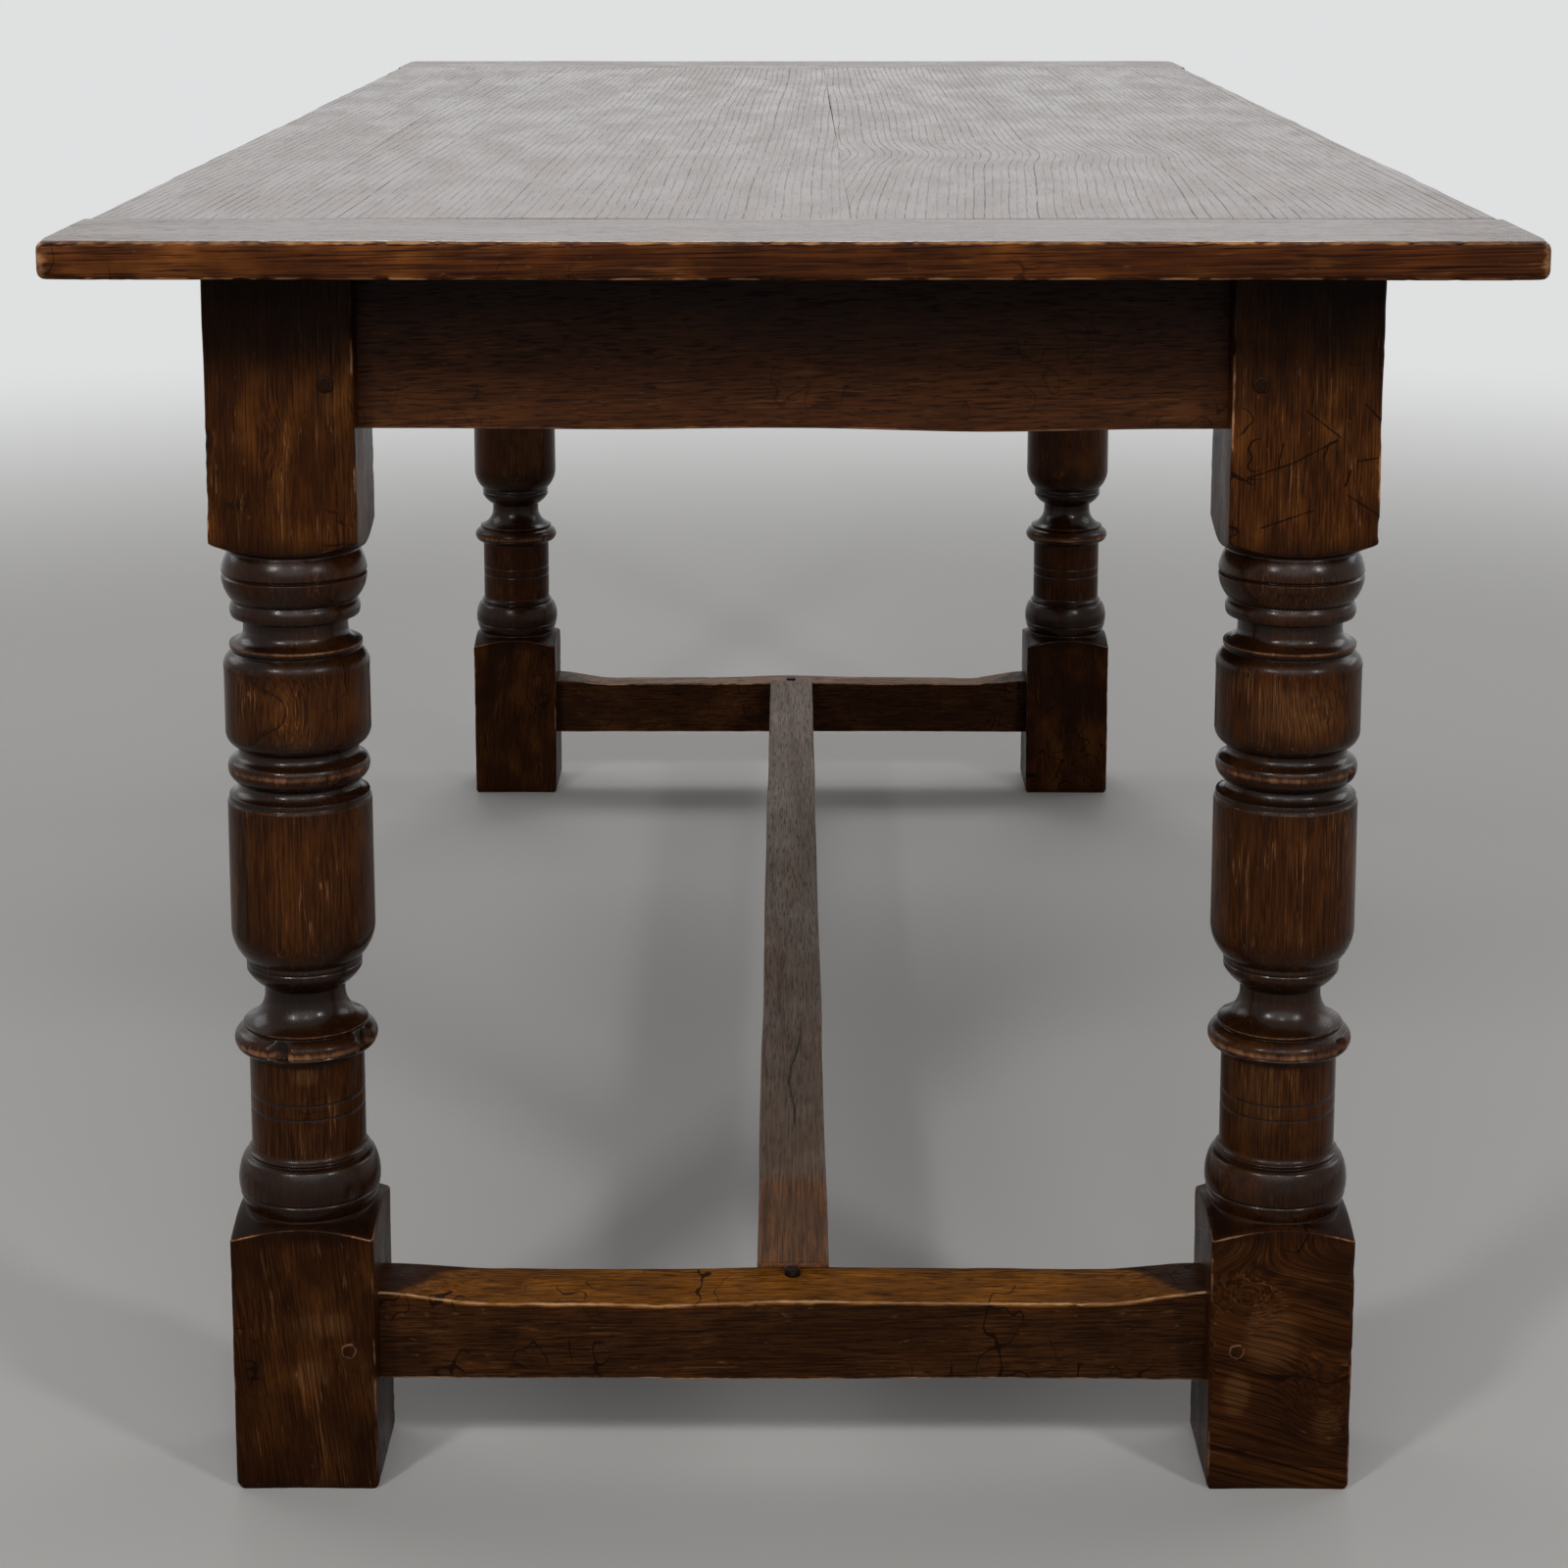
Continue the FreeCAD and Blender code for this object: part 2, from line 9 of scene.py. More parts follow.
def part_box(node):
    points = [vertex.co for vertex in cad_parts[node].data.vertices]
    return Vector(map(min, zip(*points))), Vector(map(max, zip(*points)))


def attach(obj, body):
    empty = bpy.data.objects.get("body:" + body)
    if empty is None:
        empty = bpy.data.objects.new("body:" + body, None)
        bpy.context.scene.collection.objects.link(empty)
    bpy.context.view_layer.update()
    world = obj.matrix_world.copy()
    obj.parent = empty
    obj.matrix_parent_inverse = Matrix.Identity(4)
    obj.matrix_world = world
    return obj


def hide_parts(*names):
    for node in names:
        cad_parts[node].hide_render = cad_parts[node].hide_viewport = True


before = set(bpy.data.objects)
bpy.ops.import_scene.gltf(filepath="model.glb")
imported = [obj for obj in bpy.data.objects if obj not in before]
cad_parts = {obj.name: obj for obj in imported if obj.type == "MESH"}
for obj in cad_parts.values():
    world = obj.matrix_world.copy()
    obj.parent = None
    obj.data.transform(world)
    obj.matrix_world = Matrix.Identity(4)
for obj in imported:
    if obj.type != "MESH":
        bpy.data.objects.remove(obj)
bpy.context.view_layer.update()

# Sizes are in millimetres, and every mesh goes out in metres.
MM = 0.001

# The turned legs
FOOT_BLOCK = 157
UPPER_BLOCK = 160
RIM_MARGIN = 2
ARRIS_ROUND = 2.2
FOOT_ROUND = 4.2
UPPER_ROUND = 1.0
BLOCK_ROW = 5
BLOCK_COLUMN_DEGREES = 3.4
CORNER_DEGREES = (0, 0.7, 1.5, 2.4, 3.6)
CORNER_ROUND = 2.4
END_ROUND_SHARES = (0, 0.15, 0.4, 0.7)
ARRIS_OFFSETS = (6, 4, 2.6, 1.5, 0.7, 0.2)
SHOULDER_SHARES = (0.03, 0.08, 0.15, 0.3, 0.5, 0.75)
PROFILE_STEP = 0.4
STRAIGHT_ROW = 3.2
TURN_ROW_DEGREES = 8
PROFILE_SOFTNESS = 1.1
PROFILE_REACH = 4

# Radius and height as shares of the block and of the turned length; four numbers are an arc.
TURNING_SHARES = (
    (0.445, 0.023), (0.499, 0.064, 0.455, 0.099), (0.436, 0.101), (0.434, 0.106),
    (0.409, 0.11, 0.401, 0.119), (0.401, 0.253), (0.412, 0.255), (0.499, 0.272, 0.455, 0.287),
    (0.425, 0.29), (0.436, 0.293), (0.436, 0.296), (0.3233, 0.3117, 0.28, 0.338), (0.28, 0.349),
    (0.352, 0.36, 0.4, 0.373), (0.402, 0.386), (0.396, 0.389), (0.473, 0.411, 0.499, 0.434),
    (0.497, 0.618), (0.484, 0.621), (0.484, 0.629), (0.431, 0.634, 0.408, 0.645),
    (0.487, 0.664, 0.474, 0.677), (0.45, 0.68), (0.419, 0.685, 0.413, 0.696),
    (0.468, 0.703, 0.499, 0.723), (0.499, 0.807), (0.48, 0.825, 0.439, 0.832), (0.456, 0.839),
    (0.456, 0.844), (0.384, 0.85, 0.359, 0.862), (0.359, 0.877), (0.436, 0.881),
    (0.447, 0.889, 0.426, 0.903), (0.499, 0.939, 0.44, 0.975),
)
# Height share, half width and depth of each line cut into the turning.
GROOVES = (
    (0.049, 0.7, 0.9), (0.1015, 1.4, 1.3), (0.171, 0.7, 0.36), (0.192, 0.7, 0.36), (0.265, 0.5, 0.8),
    (0.381, 0.5, 0.7), (0.941, 0.8, 1.4),
)

LATTICE_STEPS = np.array((374761393, 668265263, 1103515245))
SEED_STEP = 144665
HASH_STEP = 1274126177
WORD = 0xFFFFFFFF
TINY = 1e-9

# Bends, in turns per metre, at which wear of an arris and painted shade in a corner start and are full.
ARRIS_BENDS = (110, 480)
CORNER_BENDS = (40, 260)
# How deep nicks in an arris are, as shares of their size.
NICK_SHARES = (0.15, 0.3)


def lattice(cells, seed):
    """A repeatable number from 0 to 1 for each cell."""
    mixed = (cells @ LATTICE_STEPS + seed * SEED_STEP) & WORD
    mixed = ((mixed ^ (mixed >> 13)) * HASH_STEP) & WORD
    return (mixed ^ (mixed >> 16)) / WORD


def noise(points, size, seed):
    """Smooth noise from -1 to 1 with lumps about size long."""
    scaled = points / size
    cell = np.floor(scaled).astype(np.int64)
    part = scaled - cell
    part = part * part * (3 - 2 * part)
    total = np.zeros(len(points))
    for corner in np.ndindex(2, 2, 2):
        weight = np.prod(np.where(corner, part, 1 - part), axis=1)
        total += weight * lattice(cell + corner, seed)
    return 2 * total - 1


def ease(value, low, high):
    """Goes smoothly from 0 at low to 1 at high."""
    part = np.clip((value - low) / (high - low), 0, 1)
    return part * part * (3 - 2 * part)


def faded(distance, reach):
    """1 where a distance is zero, fading out at about its reach."""
    return np.exp(-(distance / reach) ** 2)


def box_mm(node):
    """A CAD node's lowest and highest corners in millimetres."""
    return np.array(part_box(node)) / MM


def stations(low, high, near, step):
    """Grid lines along one axis, closer together near both ends."""
    inner_low = low + near[-1]
    inner_high = high - near[-1]
    count = max(2, int(math.ceil((inner_high - inner_low) / step)) + 1)
    middle = np.linspace(inner_low, inner_high, count)
    return np.concatenate((low + near[:-1], middle, high - near[-2::-1]))


def box_shell(xs, ys, zs):
    """Points and faces of a box whose sides follow the grid lines."""
    counts = (len(xs), len(ys), len(zs))
    on_shell = np.ones(counts, bool)
    on_shell[1:-1, 1:-1, 1:-1] = False
    index = np.full(counts, -1)
    index[on_shell] = np.arange(on_shell.sum())
    points = np.stack(np.meshgrid(xs, ys, zs, indexing="ij"), -1)[on_shell]
    faces = []
    for axis in range(3):
        for side in (0, -1):
            layer = np.take(index, side, axis)
            quads = np.stack((layer[:-1, :-1], layer[1:, :-1], layer[1:, 1:], layer[:-1, 1:]), -1)
            if (side == 0) != (axis == 1):
                quads = quads[:, :, ::-1]
            faces.append(quads.reshape(-1, 4))
    return points, np.concatenate(faces).tolist()


def unit(rows):
    """The rows with a length of 1."""
    return rows / np.maximum(norm(rows, axis=1, keepdims=True), TINY)


def soften(points, low, high, radius):
    """Rounds the arrises of a box to that radius."""
    radius = np.broadcast_to(radius, len(points))[:, None]
    core = np.clip(points, low + radius, high - radius)
    return core + unit(points - core) * radius


def dent(points, centre, radius, push):
    """Pushes the points near centre by up to push, fading out at radius."""
    distance = norm(points - centre, axis=1)
    share = np.clip(1 - (distance / radius) ** 2, 0, 1) ** 2
    return points + share[:, None] * push


def nicks(points, start, end, inward, count, sizes, seed):
    """Small dents along an arris from start to end."""
    rng = np.random.default_rng(seed)
    start, end, inward = np.array((start, end, inward), float)
    for _ in range(count):
        place = start + (end - start) * rng.random()
        radius = rng.uniform(*sizes)
        depth = radius * rng.uniform(*NICK_SHARES)
        points = dent(points, place, radius, inward * depth)
    return points


def grain_of(points, along, pith, lean=(0, 0)):
    """Places in the log: along the grain, then across it from the leaning pith."""
    length = points[:, along, None]
    return np.hstack((length, np.delete(points, along, 1) - pith - length * lean))


def store(mesh, name, values):
    """Keeps numbers or vectors of the vertices for the materials."""
    vector = values.ndim == 2
    attribute = mesh.attributes.new(name, "FLOAT_VECTOR" if vector else "FLOAT", "POINT")
    attribute.data.foreach_set("vector" if vector else "value", values.astype(np.float32).ravel())


def bends(mesh, points):
    """How sharply the surface bends at each vertex, above zero on an arris."""
    normals = np.empty(points.size, np.float32)
    mesh.vertex_normals.foreach_get("vector", normals)
    normals = normals.reshape(-1, 3).astype(float)
    pairs = np.empty(len(mesh.edges) * 2, np.int32)
    mesh.edges.foreach_get("vertices", pairs)
    first, second = pairs.reshape(-1, 2).T
    step = points[second] - points[first]
    length = np.maximum(norm(step, axis=1), TINY)
    bend = np.sum((normals[second] - normals[first]) * step, axis=1) / length ** 2
    ends = np.append(first, second)
    others = np.append(second, first)
    weight = np.tile(length ** -1, 2)
    share = np.bincount(ends, weight)
    mean = np.bincount(ends, np.tile(bend, 2) * weight) / share
    for _ in range(2):
        mean = 0.5 * mean + 0.5 * np.bincount(ends, mean[others] * weight) / share
    return mean


def show(name, data):
    """An object in the scene."""
    shown = bpy.data.objects.new(name, data)
    bpy.context.scene.collection.objects.link(shown)
    return shown


def piece(node, points, faces, grain, materials, finish=0, wear=0, sheltered=0, grime_and_shade=0, tread=0):
    """A mesh that stands for a CAD node, with its marks and each face's material."""
    mesh = bpy.data.meshes.new(node + "_worn")
    mesh.from_pydata(points * MM, [], faces, shade_flat=False)
    bend = bends(mesh, points * MM)
    store(mesh, "grain", grain * MM)
    store(mesh, "wear", np.maximum(ease(bend, *ARRIS_BENDS) * (1 - sheltered), wear))
    # Painted shade in corners and creases, joined with the grime and painted shade each piece brings.
    store(mesh, "grime_and_shade", np.maximum(ease(-bend, *CORNER_BENDS), grime_and_shade))
    store(mesh, "tread", np.broadcast_to(tread, len(points)))
    for material in materials:
        mesh.materials.append(material)
    finish = np.broadcast_to(finish, len(mesh.polygons)).astype(np.int32)
    mesh.polygons.foreach_set("material_index", finish)
    shown = show(node + "_worn", mesh)
    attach(shown, "root")
    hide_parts(node)


class Wiring:
    """A node tree, with short ways to add to it."""

    def __init__(self, tree):
        self.tree = tree

    def fill(self, node, inputs):
        for name, value in inputs.items():
            if isinstance(value, bpy.types.NodeSocket):
                self.tree.links.new(value, node.inputs[name])
            else:
                node.inputs[name].default_value = value
        return node.outputs

    def node(self, kind, inputs, **settings):
        made = self.tree.nodes.new("ShaderNode" + kind)
        for name, value in settings.items():
            setattr(made, name, value)
        return self.fill(made, inputs)

    def refill(self, name, inputs):
        return self.fill(self.tree.nodes[name], inputs)

    def attribute(self, name, output="Fac"):
        return self.node("Attribute", {}, attribute_name=name)[output]

    def place(self, output="Object"):
        return self.node("TexCoord", {})[output]

    def math(self, operation, *values):
        return self.node("Math", dict(enumerate(values)), operation=operation)[0]

    def plus(self, first, second):
        return self.math("ADD", first, second)

    def times(self, first, second):
        return self.math("MULTIPLY", first, second)

    def most(self, first, second):
        return self.math("MAXIMUM", first, second)

    def off_middle(self, value):
        return self.math("ABSOLUTE", self.math("SUBTRACT", value, 0.5))

    def vector(self, operation, *values):
        made = self.node("VectorMath", dict(enumerate(values)), operation=operation)
        return made["Value" if operation in ("LENGTH", "DOT_PRODUCT") else "Vector"]

    def along_x(self, value):
        return self.node("CombineXYZ", {0: value})[0]

    def noise(self, place, along, across, detail=2.0, output="Fac"):
        scaled = self.vector("MULTIPLY", place, (along, across, across))
        return self.node("TexNoise", {"Vector": scaled, "Scale": 1.0, "Detail": detail})[output]

    def band(self, value, low, high, to_low=0.0, to_high=1.0):
        inputs = dict(enumerate((value, low, high, to_low, to_high)))
        return self.node("MapRange", inputs, interpolation_type="SMOOTHSTEP")[0]

    def blend(self, factor, first, second):
        return self.node("Mix", {0: factor, 6: first, 7: second}, data_type="RGBA")[2]


def new_material(name):
    """A material and its wiring."""
    material = bpy.data.materials.new(name)
    material.use_nodes = True
    return material, Wiring(material.node_tree)


# The front of the scored leg, and how much depth counts in the distance from a score.
LEG_FACE = -811
SCORE_DEPTH = 0.05
# Scores in it: both ends across and up, and half width.
LEG_SCORES = (
    (257.5, 616.4, 283, 625, 0.9), (283, 625, 308, 638.3, 0.8), (290.4, 654.8, 310.2, 639.4, 0.7),
    (314.6, 606.5, 332.1, 595.5, 0.7), (266.2, 587.8, 294.8, 597.7, 0.8), (277.2, 636, 274.8, 624, 0.8),
    (300.4, 628.6, 303.6, 637, 0.9), (248.6, 619.7, 259.6, 613, 0.9), (320, 626.2, 332.6, 628.4, 0.8),
    (323.4, 659, 332.6, 649, 0.8), (313, 612, 316, 621, 1.0),
)


def score_mark(net, x_start, z_start, x_end, z_end, half_width):
    """1 along a score in the leg's front."""
    start = Vector((x_start, LEG_FACE * SCORE_DEPTH, z_start)) * MM
    run = Vector((x_end - x_start, 0, z_end - z_start)) * MM
    way = run.normalized()
    place = net.place()
    off = net.vector("SUBTRACT", net.vector("MULTIPLY", place, (1, SCORE_DEPTH, 1)), start)
    along = net.math("MINIMUM", net.most(net.vector("DOT_PRODUCT", off, way), 0.0), run.length)
    gap = net.vector("LENGTH", net.vector("SUBTRACT", off, net.vector("MULTIPLY", way, along)))
    uneven = net.times(net.noise(place, 260, 260, 3.0), 1.2 * half_width * MM)
    return net.band(net.plus(gap, uneven), 1.6 * half_width * MM, 0.8 * half_width * MM)


def year_lines(net, bent, ring, growing, late, faint):
    """1 in the open pores with which each year's ring starts."""
    reach = net.vector("LENGTH", net.vector("MULTIPLY", bent, (0, 1, 1)))
    growth = net.noise(net.along_x(reach), 45, 1)
    age = net.plus(net.math("DIVIDE", reach, ring * MM), net.times(growth, growing))
    year = net.math("FRACT", age)
    count = net.along_x(net.math("FLOOR", age))
    season = net.band(net.noise(count, 0.73, 1, 1.0), 0.3, 0.7, faint, 1.0)
    return net.times(net.times(net.band(year, 0.0, 0.1), net.band(year, late, 0.14)), season)


def scratches(net, grain, cracked, scores):
    """1 in groups of thin bent scratches and in the scores."""
    bow = net.off_middle(net.noise(grain, 52, 34, 1.0))
    group = net.band(net.noise(grain, 14, 21), cracked - 0.08, cracked)
    scratch = net.times(net.band(bow, 0.016, 0.006), group)
    for score in scores:
        scratch = net.most(scratch, score_mark(net, *score))
    return scratch


def rubbed_off(net, patch, speck, worn_from, ragged):
    """How far the stain is rubbed off the arrises and in small flecks."""
    broken = net.plus(net.attribute("wear"), net.times(net.math("SUBTRACT", speck, 0.5), ragged))
    worn = net.times(net.band(broken, worn_from, worn_from + 0.5), net.band(patch, 0.4, 0.6, 0.4, 1.0))
    return net.most(worn, net.band(speck, 0.66, 0.76, 0.0, 0.1))


def oak(name, colours, ring=2.6, gloss=0.34, shine=0.08, pores=0.7, fibre=45, dash=80, lines=0.5, rays=0.25,
        worn_share=0.6, worn_from=0.65, dull_pores=0.3, relief=0.2, ripple=0.006, stray=1.0, fine=760,
        late=0.42, faint=0.35, growing=4.0, ragged=1.2, mottle=(0.4, 0.35), scored=0.6, cracked=0.62,
        scores=(), riven=True):
    """Stained and waxed oak with pale worn arrises, and with grime and painted shade darkening its corners.
    """
    material, net = new_material(name)
    shades = {part: (*colour, 1.0) for part, colour in colours.items()}
    grain = net.attribute("grain", "Vector") if riven else net.place()
    sway = net.vector("SUBTRACT", net.noise(grain, 1.8, 11, output="Color"), (0.5, 0.5, 0.5))
    bent = net.vector("ADD", grain, net.vector("MULTIPLY", sway, (0, ripple, ripple)))
    streak = net.band(net.noise(bent, fibre, fine, 4.0), 0.34, 0.64)
    dashes = net.noise(bent, dash, 1.2 * fine)
    line = net.times(year_lines(net, bent, ring, growing, late, faint), net.band(dashes, 0.34, 0.52))
    pore = net.most(net.times(net.band(dashes, 0.54, 0.63), stray), net.times(line, lines))
    strand = net.off_middle(net.noise(bent, 8, 320))
    ray = net.times(net.band(strand, 0.016, 0.004), net.band(net.noise(grain, 24, 60), 0.5, 0.62))
    cloud = net.band(net.noise(grain, 14, 24, 4.0), 0.34, 0.66)
    patch = net.noise(grain, 22, 50, 4.0)
    speck = net.noise(grain, 110, 300, 3.0)
    scratch = scratches(net, grain, cracked, scores)
    worn = rubbed_off(net, patch, speck, worn_from, ragged)
    grime_and_shade = net.attribute("grime_and_shade")
    tread = net.plus(net.attribute("tread"), net.times(patch, 0.6))
    trodden = net.blend(streak, shades["tread_dark"], shades["tread"])
    colour = net.blend(streak, shades["dark"], shades["body"])
    colour = net.blend(net.band(patch, 0.45, 0.72, 0.0, mottle[1]), colour, shades["amber"])
    colour = net.blend(net.band(tread, 0.55, 0.95), colour, trodden)
    colour = net.blend(net.band(cloud, 0.0, 1.0, mottle[0], 0.0), colour, shades["dark"])
    # The last coat paints grime together with painted shade in corners, coves, grooves and under the top.
    coats = ((ray, rays, "ray"), (pore, pores, "pore"), (scratch, scored, "pore"), (worn, worn_share, "worn"),
             (grime_and_shade, 0.9, "grime_and_shade"))
    for place, amount, part in coats:
        colour = net.blend(net.times(place, amount), colour, shades[part])
    rough = net.band(net.noise(grain, 9, 30, 4.0), 0.3, 0.7, gloss - 0.05, gloss + 0.06)
    rough = net.plus(net.plus(rough, net.times(pore, dull_pores)), net.times(grime_and_shade, 0.01))
    height = net.math("SUBTRACT", net.times(pore, -1.0), net.times(scratch, 1.4))
    bump = net.node("Bump", {"Height": height, "Strength": relief, "Distance": 0.0003})
    level = net.band(grime_and_shade, 0.3, 0.9, *shine) if isinstance(shine, tuple) else shine
    looks = {"Base Color": colour, "Roughness": rough, "Specular IOR Level": level, "Normal": bump[0]}
    net.refill("Principled BSDF", looks)
    return material


LEG_COLOURS = dict(
    dark=(0.018, 0.005, 0.0012), body=(0.06, 0.0182, 0.0038), amber=(0.13, 0.0435, 0.008),
    tread=(0.095, 0.037, 0.011), tread_dark=(0.045, 0.0165, 0.005), ray=(0.26, 0.115, 0.044),
    pore=(0.005, 0.0015, 0.0005), worn=(0.44, 0.21, 0.11), grime_and_shade=(0.0035, 0.0015, 0.0008),
)
RAIL_COLOURS = dict(
    LEG_COLOURS, dark=(0.022, 0.007, 0.0022), body=(0.05, 0.016, 0.0045), amber=(0.072, 0.0236, 0.0062),
)
STRETCHER_COLOURS = dict(
    RAIL_COLOURS, dark=(0.011, 0.0039, 0.0013), body=(0.041, 0.0146, 0.0042),
    tread=(0.205, 0.072, 0.0075), tread_dark=(0.06, 0.019, 0.0025), worn=(0.44, 0.26, 0.14),
)
CENTRE_COLOURS = dict(
    RAIL_COLOURS, dark=(0.044, 0.026, 0.016), body=(0.104, 0.066, 0.043), amber=(0.16, 0.11, 0.078),
    tread=(0.12, 0.048, 0.016), tread_dark=(0.04, 0.014, 0.005), ray=(0.22, 0.16, 0.12),
    pore=(0.045, 0.027, 0.018), worn=(0.1, 0.034, 0.018),
)
TOP_COLOURS = dict(
    LEG_COLOURS, dark=(0.058, 0.027, 0.015), body=(0.116, 0.06, 0.036), amber=(0.152, 0.078, 0.044),
    ray=(0.19, 0.14, 0.11), pore=(0.012, 0.007, 0.005), worn=(0.22, 0.13, 0.075),
    grime_and_shade=(0.02, 0.012, 0.008),
)
BREADBOARD_COLOURS = dict(
    LEG_COLOURS, dark=(0.026, 0.0068, 0.0018), body=(0.095, 0.0265, 0.0062), amber=(0.19, 0.06, 0.012),
    tread=(0.112, 0.057, 0.034), tread_dark=(0.068, 0.034, 0.02), worn=(0.4, 0.205, 0.09),
)
EDGE_COLOURS = dict(
    BREADBOARD_COLOURS, dark=(0.02, 0.005, 0.0012), body=(0.076, 0.0205, 0.0045),
    amber=(0.18, 0.057, 0.011),
)
PEG_COLOURS = dict(
    LEG_COLOURS, dark=(0.006, 0.002, 0.0008), body=(0.014, 0.0048, 0.0018),
    amber=(0.022, 0.0075, 0.0026),
)
HIDDEN_COLOURS = dict(RAIL_COLOURS, body=(0.09, 0.04, 0.017))

LEG_FIGURE = dict(ring=1.7, pores=0.95, lines=1.0, stray=0.5, relief=0.06, fine=1050)
oak_leg = oak("oak_leg", LEG_COLOURS, **LEG_FIGURE, gloss=0.3, shine=0.035, rays=0.3, worn_share=0.75,
              mottle=(0.7, 0.6), scored=0.95, cracked=0.64, scores=LEG_SCORES)
oak_turned = oak("oak_turned", LEG_COLOURS, **LEG_FIGURE, gloss=0.19, shine=(0.06, 0.16), rays=0.45,
                 worn_share=0.65, ragged=0.7, dull_pores=0.2, cracked=0.68)
oak_rail = oak("oak_rail", RAIL_COLOURS, ring=3.4, shine=0.06, fibre=30, rays=0.15, worn_share=0.3)
oak_stretcher = oak("oak_stretcher", STRETCHER_COLOURS, ring=3.2, gloss=0.36, shine=0.04, fibre=30, rays=0.15,
                    worn_share=0.7, fine=1000, scored=0.9, cracked=0.58)
oak_centre = oak("oak_centre", CENTRE_COLOURS, ring=3.6, gloss=0.44, pores=0.5, fibre=15, dash=45, rays=0.15)
oak_top = oak("oak_top", TOP_COLOURS, ring=5.4, gloss=0.17, shine=0.45, pores=0.92, fibre=15, dash=22,
              lines=1.0, rays=0.05, worn_share=0.2, dull_pores=0.5, relief=0.06, mottle=(0.5, 0.5),
              ripple=0.014, stray=0.1, late=0.28, faint=0.45, growing=1.5)
END_FIGURE = dict(ring=3.0, pores=0.85, rays=0.2, worn_from=0.55, relief=0.08)
oak_breadboard = oak("oak_breadboard", BREADBOARD_COLOURS, **END_FIGURE, gloss=0.18, shine=0.42, fibre=30,
                     worn_share=0.5)
oak_edge = oak("oak_edge", EDGE_COLOURS, **END_FIGURE, gloss=0.36, shine=0.05, fibre=14, dash=16,
               worn_share=0.7, mottle=(0.5, 0.6))
oak_peg = oak("oak_peg", PEG_COLOURS, ring=1.6, gloss=0.4, shine=0.04, worn_share=0.05)
oak_hidden = oak("oak_hidden", HIDDEN_COLOURS, gloss=0.6, riven=False)


def screw_steel():
    """Dull steel with dark spots."""
    material, net = new_material("screw_steel")
    spots = net.band(net.noise(net.place(), 400, 400, 4.0), 0.4, 0.65)
    colour = net.blend(spots, (0.32, 0.3, 0.28, 1.0), (0.1, 0.07, 0.05, 1.0))
    rough = net.band(spots, 0.0, 1.0, 0.35, 0.7)
    net.refill("Principled BSDF", {"Base Color": colour, "Roughness": rough, "Metallic": 1.0})
    return material


def run_points(start, end):
    """Points a small step apart from start to end, without start."""
    count = max(1, int(round(norm(end - start) / PROFILE_STEP)))
    share = np.linspace(0, 1, count + 1)[1:, None]
    return start + (end - start) * share


def arc_points(start, via, end):
    """Points a small step apart on an arc, without start."""
    matrix = 2 * np.array((via - start, end - start))
    centre = np.linalg.solve(matrix, np.array((via @ via - start @ start, end @ end - start @ start)))
    radius = norm(start - centre)
    turns = [math.atan2(*(point - centre)[::-1]) for point in (start, via, end)]
    to_via = (turns[1] - turns[0]) % math.tau
    to_end = (turns[2] - turns[0]) % math.tau
    sweep = to_end if to_via < to_end else to_end - math.tau
    count = max(2, int(round(abs(sweep) * radius / PROFILE_STEP)))
    angle = turns[0] + sweep * np.linspace(0, 1, count + 1)[1:]
    return centre + radius * np.stack((np.cos(angle), np.sin(angle)), -1)


def turned_profile(block, length):
    """Radius and height up the turning, with more points where it bends."""
    size = np.array((block, length))
    path = [np.array(TURNING_SHARES[0])[None] * size]
    for share in TURNING_SHARES[1:]:
        places = np.array(share).reshape(-1, 2) * size
        start = path[-1][-1]
        path.append(arc_points(start, *places) if len(places) == 2 else run_points(start, places[0]))
    line = np.concatenate(path)
    reach = np.arange(-PROFILE_REACH, PROFILE_REACH + 1)
    kernel = np.exp(-0.5 * (reach / PROFILE_SOFTNESS) ** 2)
    kernel /= kernel.sum()
    padded = np.pad(line, ((PROFILE_REACH, PROFILE_REACH), (0, 0)), mode="edge")
    line = np.stack([np.convolve(padded[:, k], kernel, mode="valid") for k in (0, 1)], -1)
    for share, half_width, depth in GROOVES:
        line[:, 0] -= depth * faded(line[:, 1] - share * length, half_width)
    step = np.diff(line, axis=0)
    heading = np.unwrap(np.arctan2(step[:, 0], step[:, 1]))
    bend = np.abs(np.gradient(heading))
    cost = norm(step, axis=1) / STRAIGHT_ROW + bend / math.radians(TURN_ROW_DEGREES)
    run = np.concatenate(((0,), np.cumsum(cost)))
    rows = np.linspace(0, run[-1], int(run[-1]) + 2)
    return np.stack([np.interp(rows, run, line[:, k]) for k in (0, 1)], -1)


def leg_columns():
    """Angles round a leg, closer at its corners."""
    corner = np.array(CORNER_DEGREES)
    steps = int((45 - corner[-1]) / BLOCK_COLUMN_DEGREES) + 1
    half = np.concatenate((corner[:-1], np.linspace(corner[-1], 45, steps + 1)))
    quarter = np.concatenate((-half[:0:-1], half))[1:]
    return np.radians(np.concatenate([45 + 90 * turn + quarter for turn in range(4)]))


def block_outline(columns, half, corner):
    """A square with rounded corners, one point for each column."""
    ray = np.stack((np.cos(columns), np.sin(columns)), -1)
    sharp = ray * half / np.abs(ray).max(1, keepdims=True)
    corner = corner[:, None]
    core = np.clip(sharp, corner - half, half - corner)
    return core + unit(sharp - core) * corner


